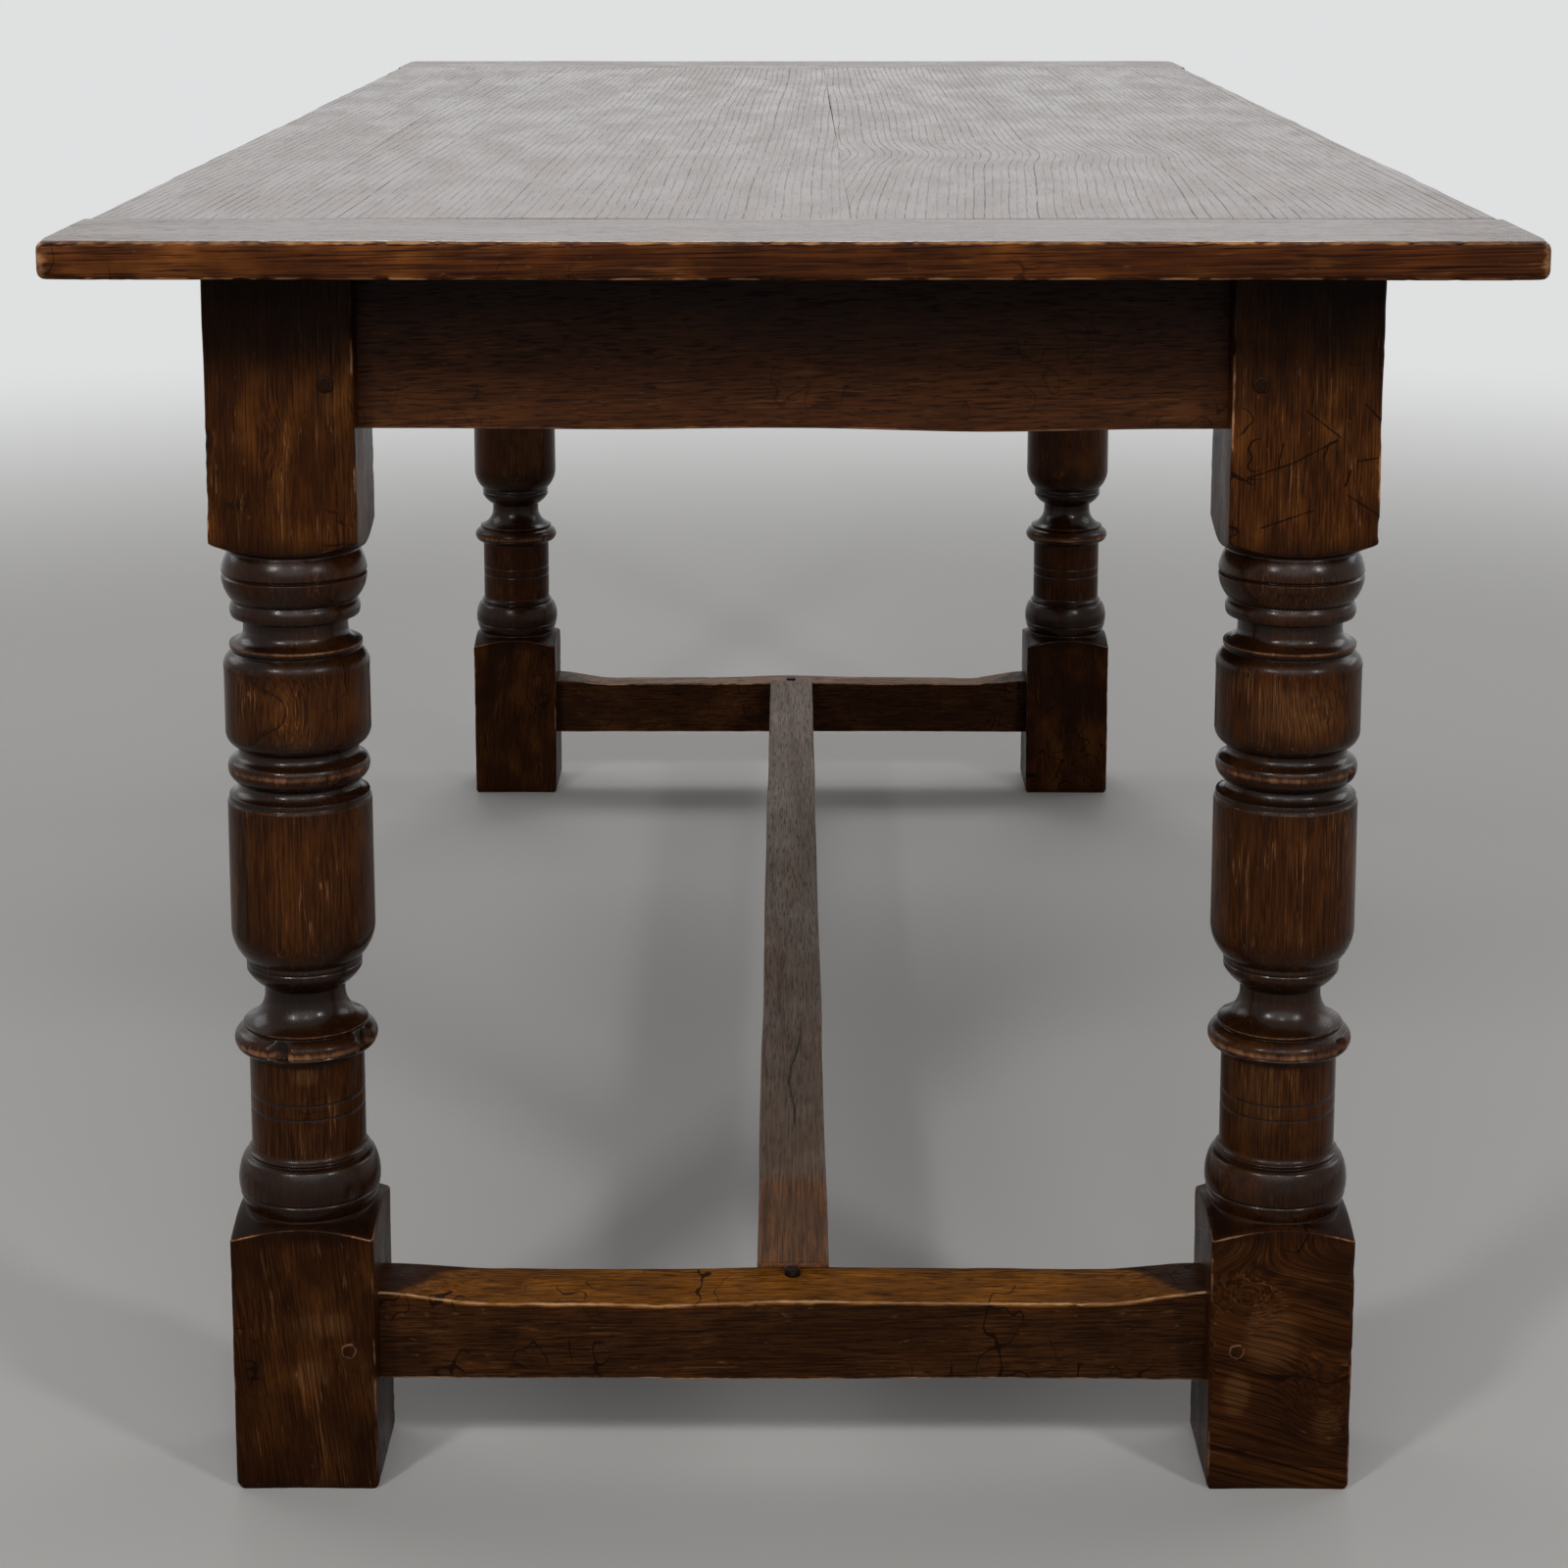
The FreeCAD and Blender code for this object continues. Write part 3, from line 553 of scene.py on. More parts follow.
def block_rows(columns, half, height, crease, end_round, seed):
    """Rows of a block from its outer end to the turning."""
    rim = half * math.sqrt(2) + RIM_MARGIN
    rows = []

    def row(depth, shrink=0.0, scale=1.0, radius=None):
        turn = np.stack((np.cos(columns) * half, np.sin(columns) * half, depth), -1)
        corner = CORNER_ROUND * (1 + 0.6 * noise(turn, (30, 30, 26), seed))
        flat = block_outline(columns, half, np.maximum(corner, 0.7))
        reach = norm(flat, axis=1)
        wanted = (reach - shrink) * scale if radius is None else radius
        rows.append(np.column_stack((flat * (wanted / reach)[:, None], depth)))

    level = np.zeros(len(columns))
    row(level, end_round, 0.5)
    for share in END_ROUND_SHARES:
        row(level + end_round * share, end_round * (1 - share) ** 2 / 2)
    reach = norm(block_outline(columns, half, np.full(len(columns), CORNER_ROUND)), axis=1)
    slope = crease[1] / (rim - crease[0])
    arris = height + (rim - reach) * slope
    count = int((height - end_round) / BLOCK_ROW)
    for share in np.linspace(0, 1, count)[:-1]:
        row(end_round + (arris - ARRIS_OFFSETS[0] - end_round) * share)
    for off in ARRIS_OFFSETS:
        row(arris - off, max(ARRIS_ROUND - off, 0) ** 2 / (4 * ARRIS_ROUND))
    for share in SHOULDER_SHARES:
        away = (reach - crease[0]) * share
        sunk = np.maximum(ARRIS_ROUND - away, 0) ** 2 / (4 * ARRIS_ROUND)
        row(arris + away * slope - sunk, radius=reach - away)
    return rows


# Each leg, with places on its front from its middle line and the floor:
# pith of its log, across and along the table, and lean of the grain in its foot
# knocks: azimuth from the front, height, size and depth
# notches broken out of the ring bead: azimuth, half width in degrees, span of height shares, radius left
# knots: offset, height, half width, half height, swirl and darkness
# stains: both ends, half width and darkness
# paler patches: offset, height, half width and half height
# crossing rings of a foot cut beside a knot: how fast they go by to the right and upwards
LEGS = {
    "leg_front_left": dict(
        pith=(88, 76), lean=-0.1, knocks=((43, 183, 6, 1.8), (-20, 536, 9, 0.6)),
        notches=((-15, 7, 0.262, 0.29, 0.43), (66, 9, 0.266, 0.294, 0.43)),
        knots=((-2, 638, 9, 14, 4, 0.0), (-20, 602, 15, 2.6, -2, 0.7), (-41, 636, 4, 6, 3, 0.8),
               (-9, 548, 8, 4, 5, 0.6), (6, 480, 22, 30, 12, 0.0)),
        stains=((20, 118, 34, 70, 5, 0.4),),
        patches=((12, 105, 20, 8), (4, 74, 14, 9), (4, 256, 9, 6)),
    ),
    "leg_front_right": dict(
        pith=(-150, 60), lean=0.0, crossing=(0.154, 0.55),
        knocks=((3, 449, 6, 4.0), (58, 436, 6, 3.4), (50, 283, 6, 3.0)),
        notches=((52, 5, 0.266, 0.282, 0.44),),
        knots=((-22, 120, 14, 12, 12, 0.35), (26, 60, 16, 22, 10, 0.3), (8, 500, 16, 24, 6, 0.0)),
        stains=((-20, 144, 40, 113, 4.5, 0.9), (-38, 90, -18, 40, 9, 0.5), (2, 48, -4, 12, 4, 0.6)),
        patches=((-6, 96, 18, 22), (-26, 62, 9, 16), (28, 40, 10, 14), (-14, 240, 16, 24), (-4, 478, 24, 16)),
    ),
    "leg_rear_left": dict(
        pith=(-110, -70), lean=0.1, knocks=((160, 284, 9, 3.0), (-120, 436, 6, 2.0)),
        knots=((10, 600, 12, 10, 10, 0.4),),
    ),
    "leg_rear_right": dict(
        pith=(126, -85), lean=-0.1, knocks=((150, 283, 7, 2.4), (-60, 449, 7, 2.6)),
        knots=((-14, 90, 12, 10, 10, 0.4),),
    ),
}
# Rubbed lips of the turning: height share, half width and amount.
WORN_LIPS = (
    (0.098, 0.5, 0.5), (0.27, 4.2, 0.95), (0.2945, 0.5, 0.9), (0.619, 0.5, 0.9), (0.667, 3.4, 0.9),
    (0.8415, 0.9, 1.1), (0.8805, 0.5, 0.9),
)
# Height share over which the edge of a notch goes down.
NOTCH_EDGE = 0.004
# Radii, as shares of the block, between which rubbed lips start and painted shade in the coves ends.
LIP_REACH = (0.4, 0.43)
COVE_SHADE = (0.4, 0.47)
# Darkness of painted shade towards the floor on the feet, and of dark wax with painted shade in the hollows
# of the turning, by share of its height.
FOOT_SHADE = 0.66
TURNED_WAX_AND_SHADE = (
    (0.0, 0.95), (0.08, 0.82), (0.104, 0.9), (0.118, 0.4), (0.25, 0.36), (0.262, 0.75), (0.29, 0.75),
    (0.3, 0.97), (0.4, 0.92), (0.43, 0.5), (0.47, 0.1), (0.58, 0.1), (0.612, 0.35), (0.625, 0.97),
    (0.7, 0.95), (0.722, 0.55), (0.745, 0.1), (0.79, 0.1), (0.812, 0.45), (0.826, 0.97), (0.905, 0.92),
    (0.94, 0.78), (0.975, 0.92), (1.0, 0.5),
)
# Depths below the top between which the painted shadow under its overhang fades out, and its darkness.
UNDER_TOP_SHADE = {"leg": (8, 115), "rail": (6, 75)}
UNDER_TOP_SHADE_SHARE = 0.95
# Height over which crossing grain turns into the straight grain above.
CROSSING_TURN = 24
ARRIS_WEAR = {"foot": 1.1, "upper": 0.15}
# Rows on a block's turned arris, counted from its inner end.
ARRIS_ROWS = slice(-8, -5)


def leg_rows(columns, block, height, turned, seed):
    """Rows up a leg: of its foot block, its turning and its upper block."""
    profile = turned_profile(block, turned)
    foot = block_rows(columns, block / 2, FOOT_BLOCK, profile[0], FOOT_ROUND, seed)
    top_crease = np.array((profile[-1, 0], turned - profile[-1, 1]))
    upper = block_rows(columns, block / 2, UPPER_BLOCK, top_crease, UPPER_ROUND, seed + 1)
    for row in upper:
        row[:, 2] = height - row[:, 2]
    ring = np.stack((np.cos(columns), np.sin(columns), 0 * columns), -1)
    body = [ring * radius + (0, 0, FOOT_BLOCK + level) for radius, level in profile]
    return foot, body, upper[::-1]


def rubbed_lips(points, turned, outer):
    """How far the lips of the turning are rubbed."""
    lips = np.zeros(len(points))
    for share, half_width, amount in WORN_LIPS:
        gap = points[:, 2] - FOOT_BLOCK - share * turned
        lips = np.maximum(lips, amount * faded(gap, half_width))
    return lips * ease(outer, *LIP_REACH)


def break_bead(points, notches, level, outer):
    """Breaks pieces out of the ring bead and says where."""
    broken = np.zeros(len(points))
    around = np.degrees(np.arctan2(points[:, 0], -points[:, 1]))
    for azimuth, half_width, first, last, left in notches:
        inside = 1 - ease(np.abs(around - azimuth), half_width - 1, half_width + 1)
        inside *= ease(level, first - NOTCH_EDGE, first + NOTCH_EDGE)
        inside *= 1 - ease(level, last - NOTCH_EDGE, last + NOTCH_EDGE)
        points[:, :2] *= (1 - inside * np.maximum(1 - left / outer, 0))[:, None]
        broken = np.maximum(broken, inside)
    return broken


def leg_soil_and_shade(points, half, turned, outer, lips, seed):
    """How far wax, dirt and painted shade darken a leg."""
    height = points[:, 2] - FOOT_BLOCK
    level = height / turned
    # Painted shade in the coves of the turning, where its radius falls in from the block.
    cove_shade = 0.75 * (1 - ease(outer, *COVE_SHADE)) * ease(level, 0.294, 0.3) * (1 - ease(level, 0.97, 1.0))
    inset = half - np.abs(points[:, :2]).max(1)
    # Painted shade on the foot block's shoulder round the turning.
    shoulder_shade = 0.95 * ease(inset, 1.0, 3.5) * (1 - ease(height, 8, 16))
    # Painted shade on the feet, darker towards the floor.
    foot = FOOT_SHADE * (1 - ease(height, -20, 60)) * (0.75 + 0.5 * noise(points, 34, seed + 8))
    # Dark wax on the turning, with painted shade deepening its coves and hollows.
    wax_and_shade = np.interp(level, *np.array(TURNED_WAX_AND_SHADE).T) * (0.85 + 0.3 * noise(points, (20, 20, 34), seed + 7))
    wax_and_shade *= on_turning(level) * (1 - 0.6 * np.minimum(lips, 1))
    soil_and_shade = np.max((cove_shade, shoulder_shade, foot, wax_and_shade), axis=0)
    # Painted shade down the lines cut into the turning.
    for share, half_width, _ in GROOVES:
        gap = np.abs(height - share * turned) / half_width
        soil_and_shade = np.maximum(soil_and_shade, faded(gap, 1.6))
    return soil_and_shade


def on_turning(level):
    """1 on the turning and 0 on the blocks."""
    return ease(level, -0.02, 0.01) * (1 - ease(level, 0.99, 1.02))


def corner_nicks(points, half, height, seed):
    """Nicks down the four corners of both blocks."""
    for x, y in ((-1, -1), (-1, 1), (1, -1), (1, 1)):
        for span, start in ((FOOT_BLOCK, 0), (UPPER_BLOCK, height - UPPER_BLOCK)):
            low = (x * half, y * half, start)
            high = (x * half, y * half, start + span)
            points = nicks(points, low, high, (-x, -y, 0), 8, (2, 5.5), seed + x + 3 * y + span)
    return points


def leg_grain(points, marks, middle, knots):
    """Places in a leg's log, whose grain leans or crosses in the foot and swirls at knots."""
    grain = grain_of(points, 2, marks["pith"] + middle)
    height = points[:, 2] - FOOT_BLOCK
    grain[:, 1] -= marks["lean"] * np.minimum(height, 0)
    if "crossing" in marks:
        sideways, upwards = marks["crossing"]
        crossed = sideways * (points[:, 0] - middle[0]) + upwards * height - marks["pith"][0]
        grain[:, 1] += (1 - ease(height, -CROSSING_TURN, 0)) * (crossed - grain[:, 1])
    outwards = unit(grain[:, 1:])
    for _, swirl, shape in knots:
        grain[:, 1:] += outwards * (swirl * shape)[:, None]
    return grain


def leg(node, marks, seed):
    """A leg turned from a square post, with its marks."""
    low, high = box_mm(node)
    middle = (low[:2] + high[:2]) / 2
    block = high[0] - low[0]
    half = block / 2
    height = high[2] - low[2]
    turned = height - FOOT_BLOCK - UPPER_BLOCK
    foot, body, upper = leg_rows(leg_columns(), block, height, turned, seed)
    rows = np.stack(foot + body + upper)
    count, wide = rows.shape[:2]
    points = rows.reshape(-1, 3)
    outward = unit(points * (1, 1, 0))
    on_block = (points[:, 2] < FOOT_BLOCK) | (points[:, 2] > height - UPPER_BLOCK)
    lumps = np.where(on_block, 0.4, 0.12) * noise(points, (38, 38, 60), seed)
    lumps += np.where(on_block, 0.12, 0.015) * noise(points, (8, 8, 11), seed + 5)
    points = points + outward * lumps[:, None]
    arris = np.zeros((count, wide))
    arris[:len(foot)][ARRIS_ROWS] = ARRIS_WEAR["foot"]
    arris[-len(upper):][::-1][ARRIS_ROWS] = ARRIS_WEAR["upper"]
    outer = norm(points[:, :2], axis=1) / block
    level = (points[:, 2] - FOOT_BLOCK) / turned
    lips = np.maximum(rubbed_lips(points, turned, outer), arris.ravel())
    broken = break_bead(points, marks.get("notches", ()), level, outer)
    stained = stains(points, marks.get("stains", ()), seed + 9)
    soil_and_shade = np.max((leg_soil_and_shade(points, half, turned, outer, lips, seed), stained, 0.9 * broken), axis=0)
    pale = np.max([knot_shape(points, *patch) for patch in marks.get("patches", ())], axis=0, initial=0)
    soil_and_shade *= 1 - 0.6 * pale
    knots = [(dark, swirl, knot_shape(points, *place)) for *place, swirl, dark in marks["knots"]]
    for dark, _, shape in knots:
        soil_and_shade = np.maximum(soil_and_shade, dark * ease(shape, 0.3, 0.75))
    for azimuth, knock_height, size, depth in marks["knocks"]:
        turn = math.radians(azimuth)
        way = np.array((math.sin(turn), -math.cos(turn), 0))
        place = way * (half - 1) + (0, 0, knock_height)
        away = norm(points - place, axis=1)
        soil_and_shade = np.maximum(soil_and_shade, 0.85 * faded(away, 0.5 * size))
        points = dent(points, place, size, -way * depth)
    points = corner_nicks(points, half, height, seed)
    points += np.append(middle, low[2])
    # Painted shadow of the top's overhang on the upper block.
    soil_and_shade = np.maximum(soil_and_shade, shade_under_top(points, high[2], "leg"))
    row = np.arange(count - 1)
    turning = (row >= len(foot)) & (row < len(foot) + len(body) - 1)
    finish = np.append(np.repeat(turning, wide), (0, 0))
    grain = leg_grain(points, marks, middle, knots)
    piece(node, points, tube_faces(count, wide), grain, [oak_leg, oak_turned], finish, wear=lips,
          sheltered=on_turning(level), grime_and_shade=soil_and_shade, tread=pale)


def tube_faces(count, wide):
    """Faces of a tube made of rows of points, with capped ends."""
    index = np.arange(count * wide).reshape(count, wide)
    beside = np.roll(index, -1, axis=1)
    faces = np.stack((index[:-1], beside[:-1], beside[1:], index[1:]), -1).reshape(-1, 4).tolist()
    return faces + [index[0][::-1].tolist(), index[-1].tolist()]


def knot_shape(points, offset, height, half_width, half_height):
    """From 1 in the middle of a knot on a leg's front to 0 away from it."""
    spread = ((points[:, 0] - offset) / half_width) ** 2 + ((points[:, 2] - height) / half_height) ** 2
    return np.where(points[:, 1] < 0, np.exp(-spread), 0)


def stains(points, lines, seed):
    """How dark stains along lines on a leg's front are."""
    shade = np.zeros(len(points))
    flat = points[:, [0, 2]]
    for *ends, half_width, dark in lines:
        start, end = np.array(ends, float).reshape(2, 2)
        run = end - start
        share = np.clip((flat - start) @ run / (run @ run), 0, 1)
        gap = norm(flat - start - share[:, None] * run, axis=1)
        gap *= 1 + 0.5 * noise(points, 9, seed)
        shade = np.maximum(shade, dark * faded(gap, half_width))
    return np.where(points[:, 1] < 0, shade, 0)


def shade_under_top(points, level, kind):
    """How dark the painted shadow is close under the top."""
    return UNDER_TOP_SHADE_SHARE * (1 - ease(level - points[:, 2], *UNDER_TOP_SHADE[kind]))


PEG_SIDES = 32
# Darkness of a peg's edge, and how far it goes down into its hole.
PEG_RIM = 0.9
PEG_SUNK = (-9, -4)
# A peg's end: shares of its radius and of how far it is proud.
PEG_DOME_SHARES = ((1.0, 0.35), (0.95, 0.75), (0.82, 1), (0.5, 1.1), (0.2, 1))


def peg(node, axis, outer, proud, seed, material, inner=0.0):
    """The shown end of a riven peg, slightly proud of its face."""
    low, high = box_mm(node)
    middle = (low + high) / 2
    first, second = (axis + 1) % 3, (axis + 2) % 3
    radius = (high - low)[first] / 2
    face = high[axis] if outer > 0 else low[axis]
    turns = np.linspace(0, math.tau, PEG_SIDES, endpoint=False)
    edge = radius * (1 + 0.05 * np.cos(5 * turns + seed) + 0.03 * np.cos(9 * turns + 2 * seed))
    dome = [(1.0, depth) for depth in PEG_SUNK] + [(share, proud * rise) for share, rise in PEG_DOME_SHARES]
    rows = np.zeros((len(dome), PEG_SIDES, 3))
    for row, (share, reach) in zip(rows, dome):
        row[:, first] = middle[first] + edge * share * np.cos(turns)
        row[:, second] = middle[second] + edge * share * np.sin(turns)
        row[:, axis] = face + outer * reach
    points = rows.reshape(-1, 3)
    points[:, axis] += 0.12 * noise(points, 4, seed)
    rim = np.repeat([PEG_RIM if share > 0.9 else inner for share, _ in dome], PEG_SIDES)
    faces = tube_faces(len(dome), PEG_SIDES)
    if outer < 0:
        faces = [corners[::-1] for corners in faces]
    grain = grain_of(points, axis, np.delete(middle, axis) + (14, 9))
    piece(node, points, faces, grain, [material], grime_and_shade=rim)


NEAR_ARRIS = np.array((0, 0.35, 0.9, 1.7, 2.8, 4.5))
NEAR_WORN_ARRIS = np.array((0, 0.4, 1.0, 2.0, 3.4, 5.5))


def bar(low, high, steps, near=NEAR_ARRIS):
    """A box of grid lines between two corners."""
    return box_shell(*(stations(low[k], high[k], near, steps[k]) for k in range(3)))


def wavy(points, amounts, sizes, seed):
    """Shifts the points by slow noise."""
    shift = [amount * noise(points, sizes, seed + k) for k, amount in enumerate(amounts)]
    return points + np.stack(shift, -1)


# How deep the top's pale face goes round its arrises, and the gap of its end seams.
TOP_SKIN = 1.6
TOP_SEAM = 0.5
# Each board: pith, across and up, its lean, a seed, and bends in the grain: place, half length and shift.
TOP_BOARDS = {
    "top_board_left": ((-560, 745), (0.01, 0.0), 201, ()),
    "top_board_middle": ((-640, 600), (0.015, 0.012), 221, ()),
    "top_board_right": ((-250, 700), (0.004, 0.01), 241, ((-323, 70, 8), (-830, 330, -24))),
}
# Where they fade out across the table.
GRAIN_BENT = (215, 330)


def top_board(node, pith, lean, seed, curves):
    """A plank of the top between the two breadboard ends."""
    low, high = box_mm(node)
    low[1] = box_mm("breadboard_front")[1][1] + TOP_SEAM
    high[1] = box_mm("breadboard_rear")[0][1] - TOP_SEAM
    left_side = box_mm("top_board_left")[0][0]
    right_side = box_mm("top_board_right")[1][0]
    points, faces = bar(low, high, (9, 14, 9))
    x, y, _ = points.T
    outer = np.minimum(x - left_side, right_side - x)
    radius = np.where(outer < 8, 3.0 + 1.0 * noise(points, 45, seed), 0.4)
    to_end = np.minimum(y - low[1], high[1] - y)
    to_side = np.minimum(x - low[0], high[0] - x)
    seam = 0.95 * faded(to_end, 1.5 + 0.8 * noise(points, 24, seed + 1))
    seam = np.maximum(seam, np.where(outer > to_side + 8, 0.3 * faded(to_side, 0.9), 0))
    points = soften(points, low, high, radius)
    points = wavy(points, (0.5, 0, 0.3), (160, 240, 160), seed + 3)
    points[:, 0] += np.where(outer < 12, 0.9 * noise(points, (400, 260, 400), seed + 9), 0)
    grain = grain_of(points, 1, pith, lean)
    bent = 1 - ease(points[:, 0], *GRAIN_BENT)
    for place, half_length, shift in curves:
        grain[:, 1] -= shift * bent * faded(points[:, 1] - place, half_length)
    x, _, z = points[faces].mean(1).T
    finish = (z < high[2] - TOP_SKIN) | (np.minimum(x - left_side, right_side - x) < TOP_SKIN)
    piece(node, points, faces, grain, [oak_top, oak_edge], finish, grime_and_shade=seam)


def breadboard(node, front, seed):
    """A breadboard end with a knocked outer edge."""
    low, high = box_mm(node)
    points, faces = bar(low, high, (3.2, 7, 3.5), NEAR_WORN_ARRIS)
    edge = low[1] if front < 0 else high[1]
    from_edge = np.abs(points[:, 1] - edge)
    from_end = np.minimum(points[:, 0] - low[0], high[0] - points[:, 0])
    radius = np.where(from_edge < 14, 2.4 + 0.8 * noise(points, 26, seed), 0.9)
    radius = radius + 3.2 * np.clip(1 - np.hypot(from_end, from_edge) / 26, 0, 1)
    radius = np.where((from_end < 8) & (from_edge >= 14), 2.6, radius)
    points = soften(points, low, high, radius)
    points = wavy(points, (0.0, 0.7, 0.25), 120, seed + 3)
    for level, inward in ((high[2], (0, -front, -1)), (low[2], (0, -front, 1))):
        points = nicks(points, (low[0], edge, level), (high[0], edge, level), inward, 60, (1.6, 4), seed + 5)
    grain = grain_of(points, 0, (edge - front * 30, high[2] - 70), (0.01, 0.02))
    from_edge = np.abs(points[:, 1] - edge)
    z = points[:, 2]
    top = 1.3 * ease(z, high[2] - 3, high[2] - 0.8) * ease(from_edge, 2, 6)
    upper = faded(np.hypot(from_edge, high[2] - z), 2.6)
    lower = 0.75 * faded(np.hypot(from_edge, z - low[2]), 1.8)
    rubbed = np.max((upper, lower, 0.9 * faded(from_end + 0.6 * from_edge, 9)), axis=0)
    _, y, z = points[faces].mean(1).T
    finish = (z < high[2] - TOP_SKIN) | (np.abs(y - edge) < TOP_SKIN)
    woods = [oak_breadboard, oak_edge]
    piece(node, points, faces, grain, woods, finish, wear=rubbed, tread=top)


def rail(node, along, span, seed):
    """A rail between two legs, with an uneven lower edge."""
    low, high = box_mm(node)
    low[along], high[along] = span
    steps = [6, 6, 6]
    steps[along] = 9
    points, faces = bar(low, high, steps)
    points = soften(points, low, high, 1.6 + 0.7 * noise(points, 40, seed))
    foot = 1 - ease(points[:, 2], low[2], low[2] + 25)
    points[:, 2] += foot * 1.6 * noise(points, 110, seed + 2)
    amounts = [0.5, 0.5, 0]
    amounts[along] = 0
    points = wavy(points, amounts, (70, 70, 45), seed + 4)
    pith = np.delete((low + high) / 2, along) + (60, 30)
    grain = grain_of(points, along, pith, (0.02, 0.03))
    # Painted shadow of the top's overhang on the rail.
    piece(node, points, faces, grain, [oak_rail], grime_and_shade=shade_under_top(points, high[2], "rail"))


# The worn hollow of an end stretcher: depth, and how far from the middle it is full and ends.
TREAD_DEPTH = 7.5
TREAD_FULL = 185
TREAD_END = 252
# How fast its polish narrows away from the outer arris.
TREAD_SLANT = 0.75


def end_stretcher(node, span, front, seed):
    """An end stretcher whose upper arris feet have worn hollow."""
    low, high = box_mm(node)
    low[0], high[0] = span
    points, faces = bar(low, high, (4, 3.2, 4))
    outer = low[1] if front < 0 else high[1]
    points = soften(points, low, high, 1.5 + 0.5 * noise(points, 30, seed))
    x, y, z = points.T
    worn = 1 - ease(np.abs(x), TREAD_FULL, TREAD_END)
    worn *= 1 + 0.18 * noise(points, (70, 400, 400), seed + 1)
    worn *= 1 - 0.25 * faded(x, 45)
    rubbed = 1.3 * faded(np.hypot(y - outer, high[2] - z), 1.7)
    rubbed *= 1 - ease(np.abs(x), TREAD_END - 25, TREAD_END)
    rubbed = np.maximum(rubbed, 0.8 * faded(np.hypot(y - outer, z - low[2]), 1.5))
    across = 1 - np.abs(y - outer) / (high[1] - low[1])
    lift = ease(z, (low[2] + high[2]) / 2, high[2])
    z -= lift * worn * TREAD_DEPTH * (0.5 + 0.5 * across)
    under = 1 - ease(z, low[2], low[2] + 20)
    z += under * (1.2 + 1.2 * noise(points, 120, seed + 2))
    points = wavy(points, (0, 0.6, 0.2), (60, 60, 40), seed + 4)
    points = wavy(points, (0, 0.15, 0.25), 13, seed + 7)
    arris = high[2] - TREAD_DEPTH
    inward = (0, -front * 0.6, -1)
    points = nicks(points, (-200, outer, arris), (200, outer, arris), inward, 9, (2, 5), seed + 6)
    middle = (low + high) / 2
    grain = grain_of(points, 0, middle[1:] + (-front * 10, -60), (0.015, 0.02))
    reach = np.abs(points[:, 0]) + TREAD_SLANT * np.abs(points[:, 1] - outer)
    tread = 1.1 * (1 - ease(reach, TREAD_FULL + 35, TREAD_END))
    tread *= ease(lift, 0.972, 0.992) * ease(across, -0.1, 0.25)
    piece(node, points, faces, grain, [oak_stretcher], tread=tread, wear=rubbed)


# The crack in the middle stretcher: places along and across the table.
CRACK = ((-530, 1.5), (-492, 2), (-456, -1), (-440, -2), (-408, -1), (-372, 4), (-330, 7))
# How far in from each end it opens, its depth and its half width.
CRACK_END = 20
CRACK_DEPTH = 2.2
CRACK_HALF_WIDTH = 0.9


def centre_stretcher(node, span, seed):
    """The long middle stretcher, dry, with uneven edges and a crack."""
    low, high = box_mm(node)
    low[1], high[1] = span
    points, faces = bar(low, high, (1.3, 5, 5))
    radius = 2.6 + 1.6 * noise(points, (400, 60, 400), seed) + 0.8 * noise(points, (400, 19, 400), seed + 1)
    points = soften(points, low, high, np.maximum(radius, 0.8))
    points = wavy(points, (0.6, 0, 0.5), (300, 130, 300), seed + 2)
    x, y, z = points.T
    places, offsets = np.array(CRACK, float).T
    inside = ease(y, places[0], places[0] + CRACK_END)
    inside *= 1 - ease(y, places[-1] - CRACK_END, places[-1])
    on_top = ease(z, high[2] - 6, high[2] - 3)
    split = faded(x - np.interp(y, places, offsets), CRACK_HALF_WIDTH) * inside * on_top
    z -= CRACK_DEPTH * split
    middle = (low + high) / 2
    grain = grain_of(points, 1, middle[[0, 2]] + (12, -55), (0.004, 0.006))
    near_end = 1.2 * (1 - ease(y, span[0] + 60, span[0] + 190))
    piece(node, points, faces, grain, [oak_centre], tread=near_end, grime_and_shade=split)


# How far rails and stretchers go into what carries them.
LET_IN = 1.5
HANDS = (("left", -1), ("right", 1))


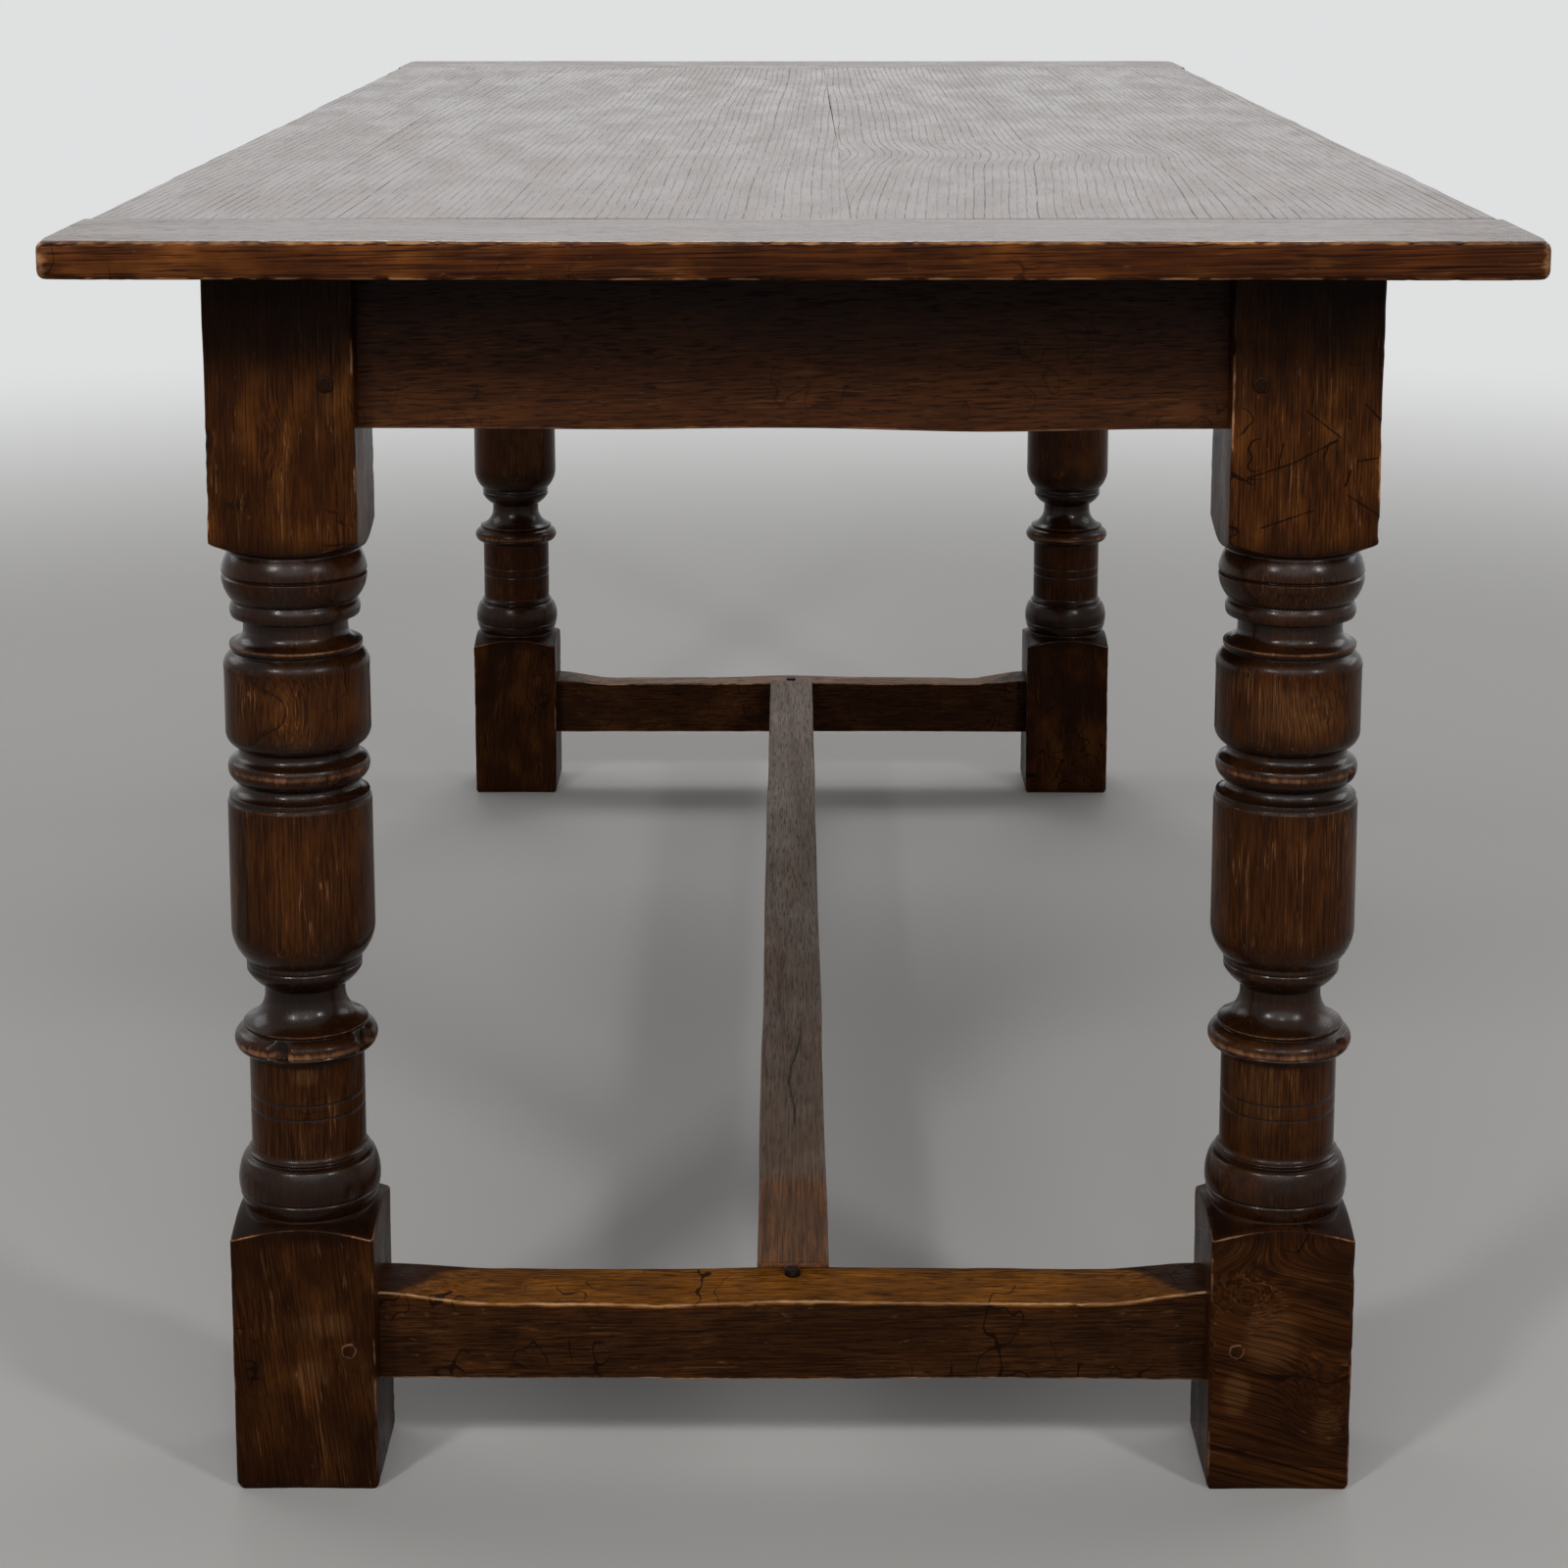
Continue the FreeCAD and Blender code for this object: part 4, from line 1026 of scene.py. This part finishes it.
def build_table():
    """Every piece that shows, each in the place of its CAD node."""
    for count, (node, marks) in enumerate(LEGS.items()):
        leg(node, marks, 11 + 20 * count)
    inner_x = box_mm("leg_front_right")[0][0] + LET_IN
    inner_y = box_mm("leg_rear_left")[0][1] + LET_IN
    for node, board in TOP_BOARDS.items():
        top_board(node, *board)
    for side, way in (("front", -1), ("rear", 1)):
        breadboard("breadboard_" + side, way, 301 + 10 * way)
        rail("end_rail_" + side, 0, (-inner_x, inner_x), 341 + 10 * way)
        end_stretcher("end_stretcher_" + side, (-inner_x, inner_x), way, 401 + 10 * way)
        peg("centre_peg_" + side, 2, 1, 0.2, 3 + way, oak_peg)
        for hand, turn in HANDS:
            corner = f"{side}_{hand}"
            peg("end_rail_peg_" + corner, 1, way, 0.9, 5 + way + 3 * turn, oak_peg)
            peg("side_rail_peg_" + corner, 0, turn, 0.9, 12 + way + 3 * turn, oak_peg)
            # A foot's peg takes the foot's painted shade.
            peg("stretcher_peg_" + corner, 1, way, 0.3, 21 + way + 3 * turn, oak_leg, FOOT_SHADE)
    for hand, turn in HANDS:
        rail("side_rail_" + hand, 1, (-inner_y, inner_y), 381 + 10 * turn)
    end_y = box_mm("end_stretcher_rear")[0][1] + LET_IN
    centre_stretcher("centre_stretcher", (-end_y, end_y), 461)
    steel = screw_steel()
    for name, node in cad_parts.items():
        if not node.hide_render:
            node.data.materials.clear()
            node.data.materials.append(steel if "screw" in name else oak_hidden)


# The floor's size and the distances over which it fades, in metres.
FLOOR_SIZE = 60
FLOOR_TONE = (0.35, 0.342, 0.33, 1.0)
FLOOR_FADE = (1.7, 4.2)
BACKDROP_TONE = (0.74, 0.745, 0.75, 1.0)
AMBIENT_TONE = (0.96, 0.98, 1.0, 1.0)
# Directions between which the soft light rises, and its strength before and behind the table.
AMBIENT_RISE = (0.1, 0.8, 0.08, 0.88)


def looked_at(net):
    """1 for rays that show something to the camera."""
    path = net.node("LightPath", {})
    return net.most(net.most(path["Is Camera Ray"], path["Is Glossy Ray"]), path["Is Transmission Ray"])


def floor():
    """A pale floor that fades into the backdrop further off."""
    half = FLOOR_SIZE / 2
    mesh = bpy.data.meshes.new("floor")
    corners = [(-half, -half, 0), (half, -half, 0), (half, half, 0), (-half, half, 0)]
    mesh.from_pydata(corners, [], [(0, 1, 2, 3)])
    material, net = new_material("floor")
    looks = {"Base Color": FLOOR_TONE, "Roughness": 0.8, "Specular IOR Level": 0.2}
    near = net.refill("Principled BSDF", looks)
    away = net.vector("LENGTH", net.place())
    fade = net.times(net.band(away, *FLOOR_FADE), looked_at(net))
    far = net.node("Emission", {"Color": BACKDROP_TONE, "Strength": 1.0})
    mixed = net.node("MixShader", {0: fade, 1: near[0], 2: far[0]})
    net.refill("Material Output", {"Surface": mixed[0]})
    mesh.materials.append(material)
    show("floor", mesh)


def backdrop():
    """A pale background, and soft light that is stronger behind the table."""
    world = bpy.data.worlds.new("studio")
    world.use_nodes = True
    bpy.context.scene.world = world
    net = Wiring(world.node_tree)
    way = net.node("SeparateXYZ", {0: net.place("Generated")})
    light = net.refill("Background", {"Color": AMBIENT_TONE, "Strength": net.band(way[1], *AMBIENT_RISE)})
    seen = net.node("Background", {"Color": BACKDROP_TONE, "Strength": 1.0})
    mixed = net.node("MixShader", {0: looked_at(net), 1: light[0], 2: seen[0]})
    net.refill("World Output", {"Surface": mixed[0]})


# Soft lamps: place, aim, width and height in metres, and power in watts.
LAMPS = {
    "window_left": ((-1.5, -3.0, 2.25), (-0.3, -0.8, 0.4), 0.34, 0.46, 40),
    "window_right": ((2.1, -3.0, 2.25), (0.3, -0.8, 0.4), 0.34, 0.46, 40),
    "window_middle": ((0.2, -3.2, 2.5), (0.0, -0.8, 0.4), 0.3, 0.3, 9),
    "front": ((0.0, -4.2, 2.5), (0.0, -0.4, 0.4), 3.6, 2.0, 60),
    "left": ((-3.2, 1.3, 2.2), (0.0, 0.0, 0.4), 2.0, 1.6, 26),
    "right": ((3.2, 1.3, 2.2), (0.0, 0.0, 0.4), 2.0, 1.6, 26),
    "rear": ((0.0, 3.4, 3.4), (0.0, 0.3, 0.4), 2.5, 1.4, 60),
}


def lamps():
    """Large soft lamps above and around the table."""
    for name, (place, aim, width, height, power) in LAMPS.items():
        data = bpy.data.lights.new(name, "AREA")
        data.shape = "RECTANGLE"
        data.size = width
        data.size_y = height
        data.energy = power
        lamp = show(name, data)
        lamp.location = place
        lamp.rotation_euler = (Vector(aim) - Vector(place)).to_track_quat("-Z", "Y").to_euler()


# The photograph's width and focal length in pixels, and where it was taken from, in metres and degrees.
PHOTO_PIXELS = 1600
FOCAL_PIXELS = 3370
SENSOR = 36
CAMERA_PLACE = (-0.0022, -2.6524, 0.9499)
CAMERA_PITCH = 10.13
CAMERA_YAW = -0.09
CAMERA_SHIFT = -0.2


def camera():
    """The camera where the photograph was taken from."""
    data = bpy.data.cameras.new("camera")
    data.sensor_width = SENSOR
    data.lens = SENSOR * FOCAL_PIXELS / PHOTO_PIXELS
    data.shift_y = CAMERA_SHIFT
    shown = show("camera", data)
    shown.location = CAMERA_PLACE
    shown.rotation_euler = (math.radians(90 - CAMERA_PITCH), 0, math.radians(-CAMERA_YAW))
    bpy.context.scene.camera = shown


build_table()
floor()
backdrop()
lamps()
camera()
bpy.context.scene.view_settings.view_transform = "Standard"
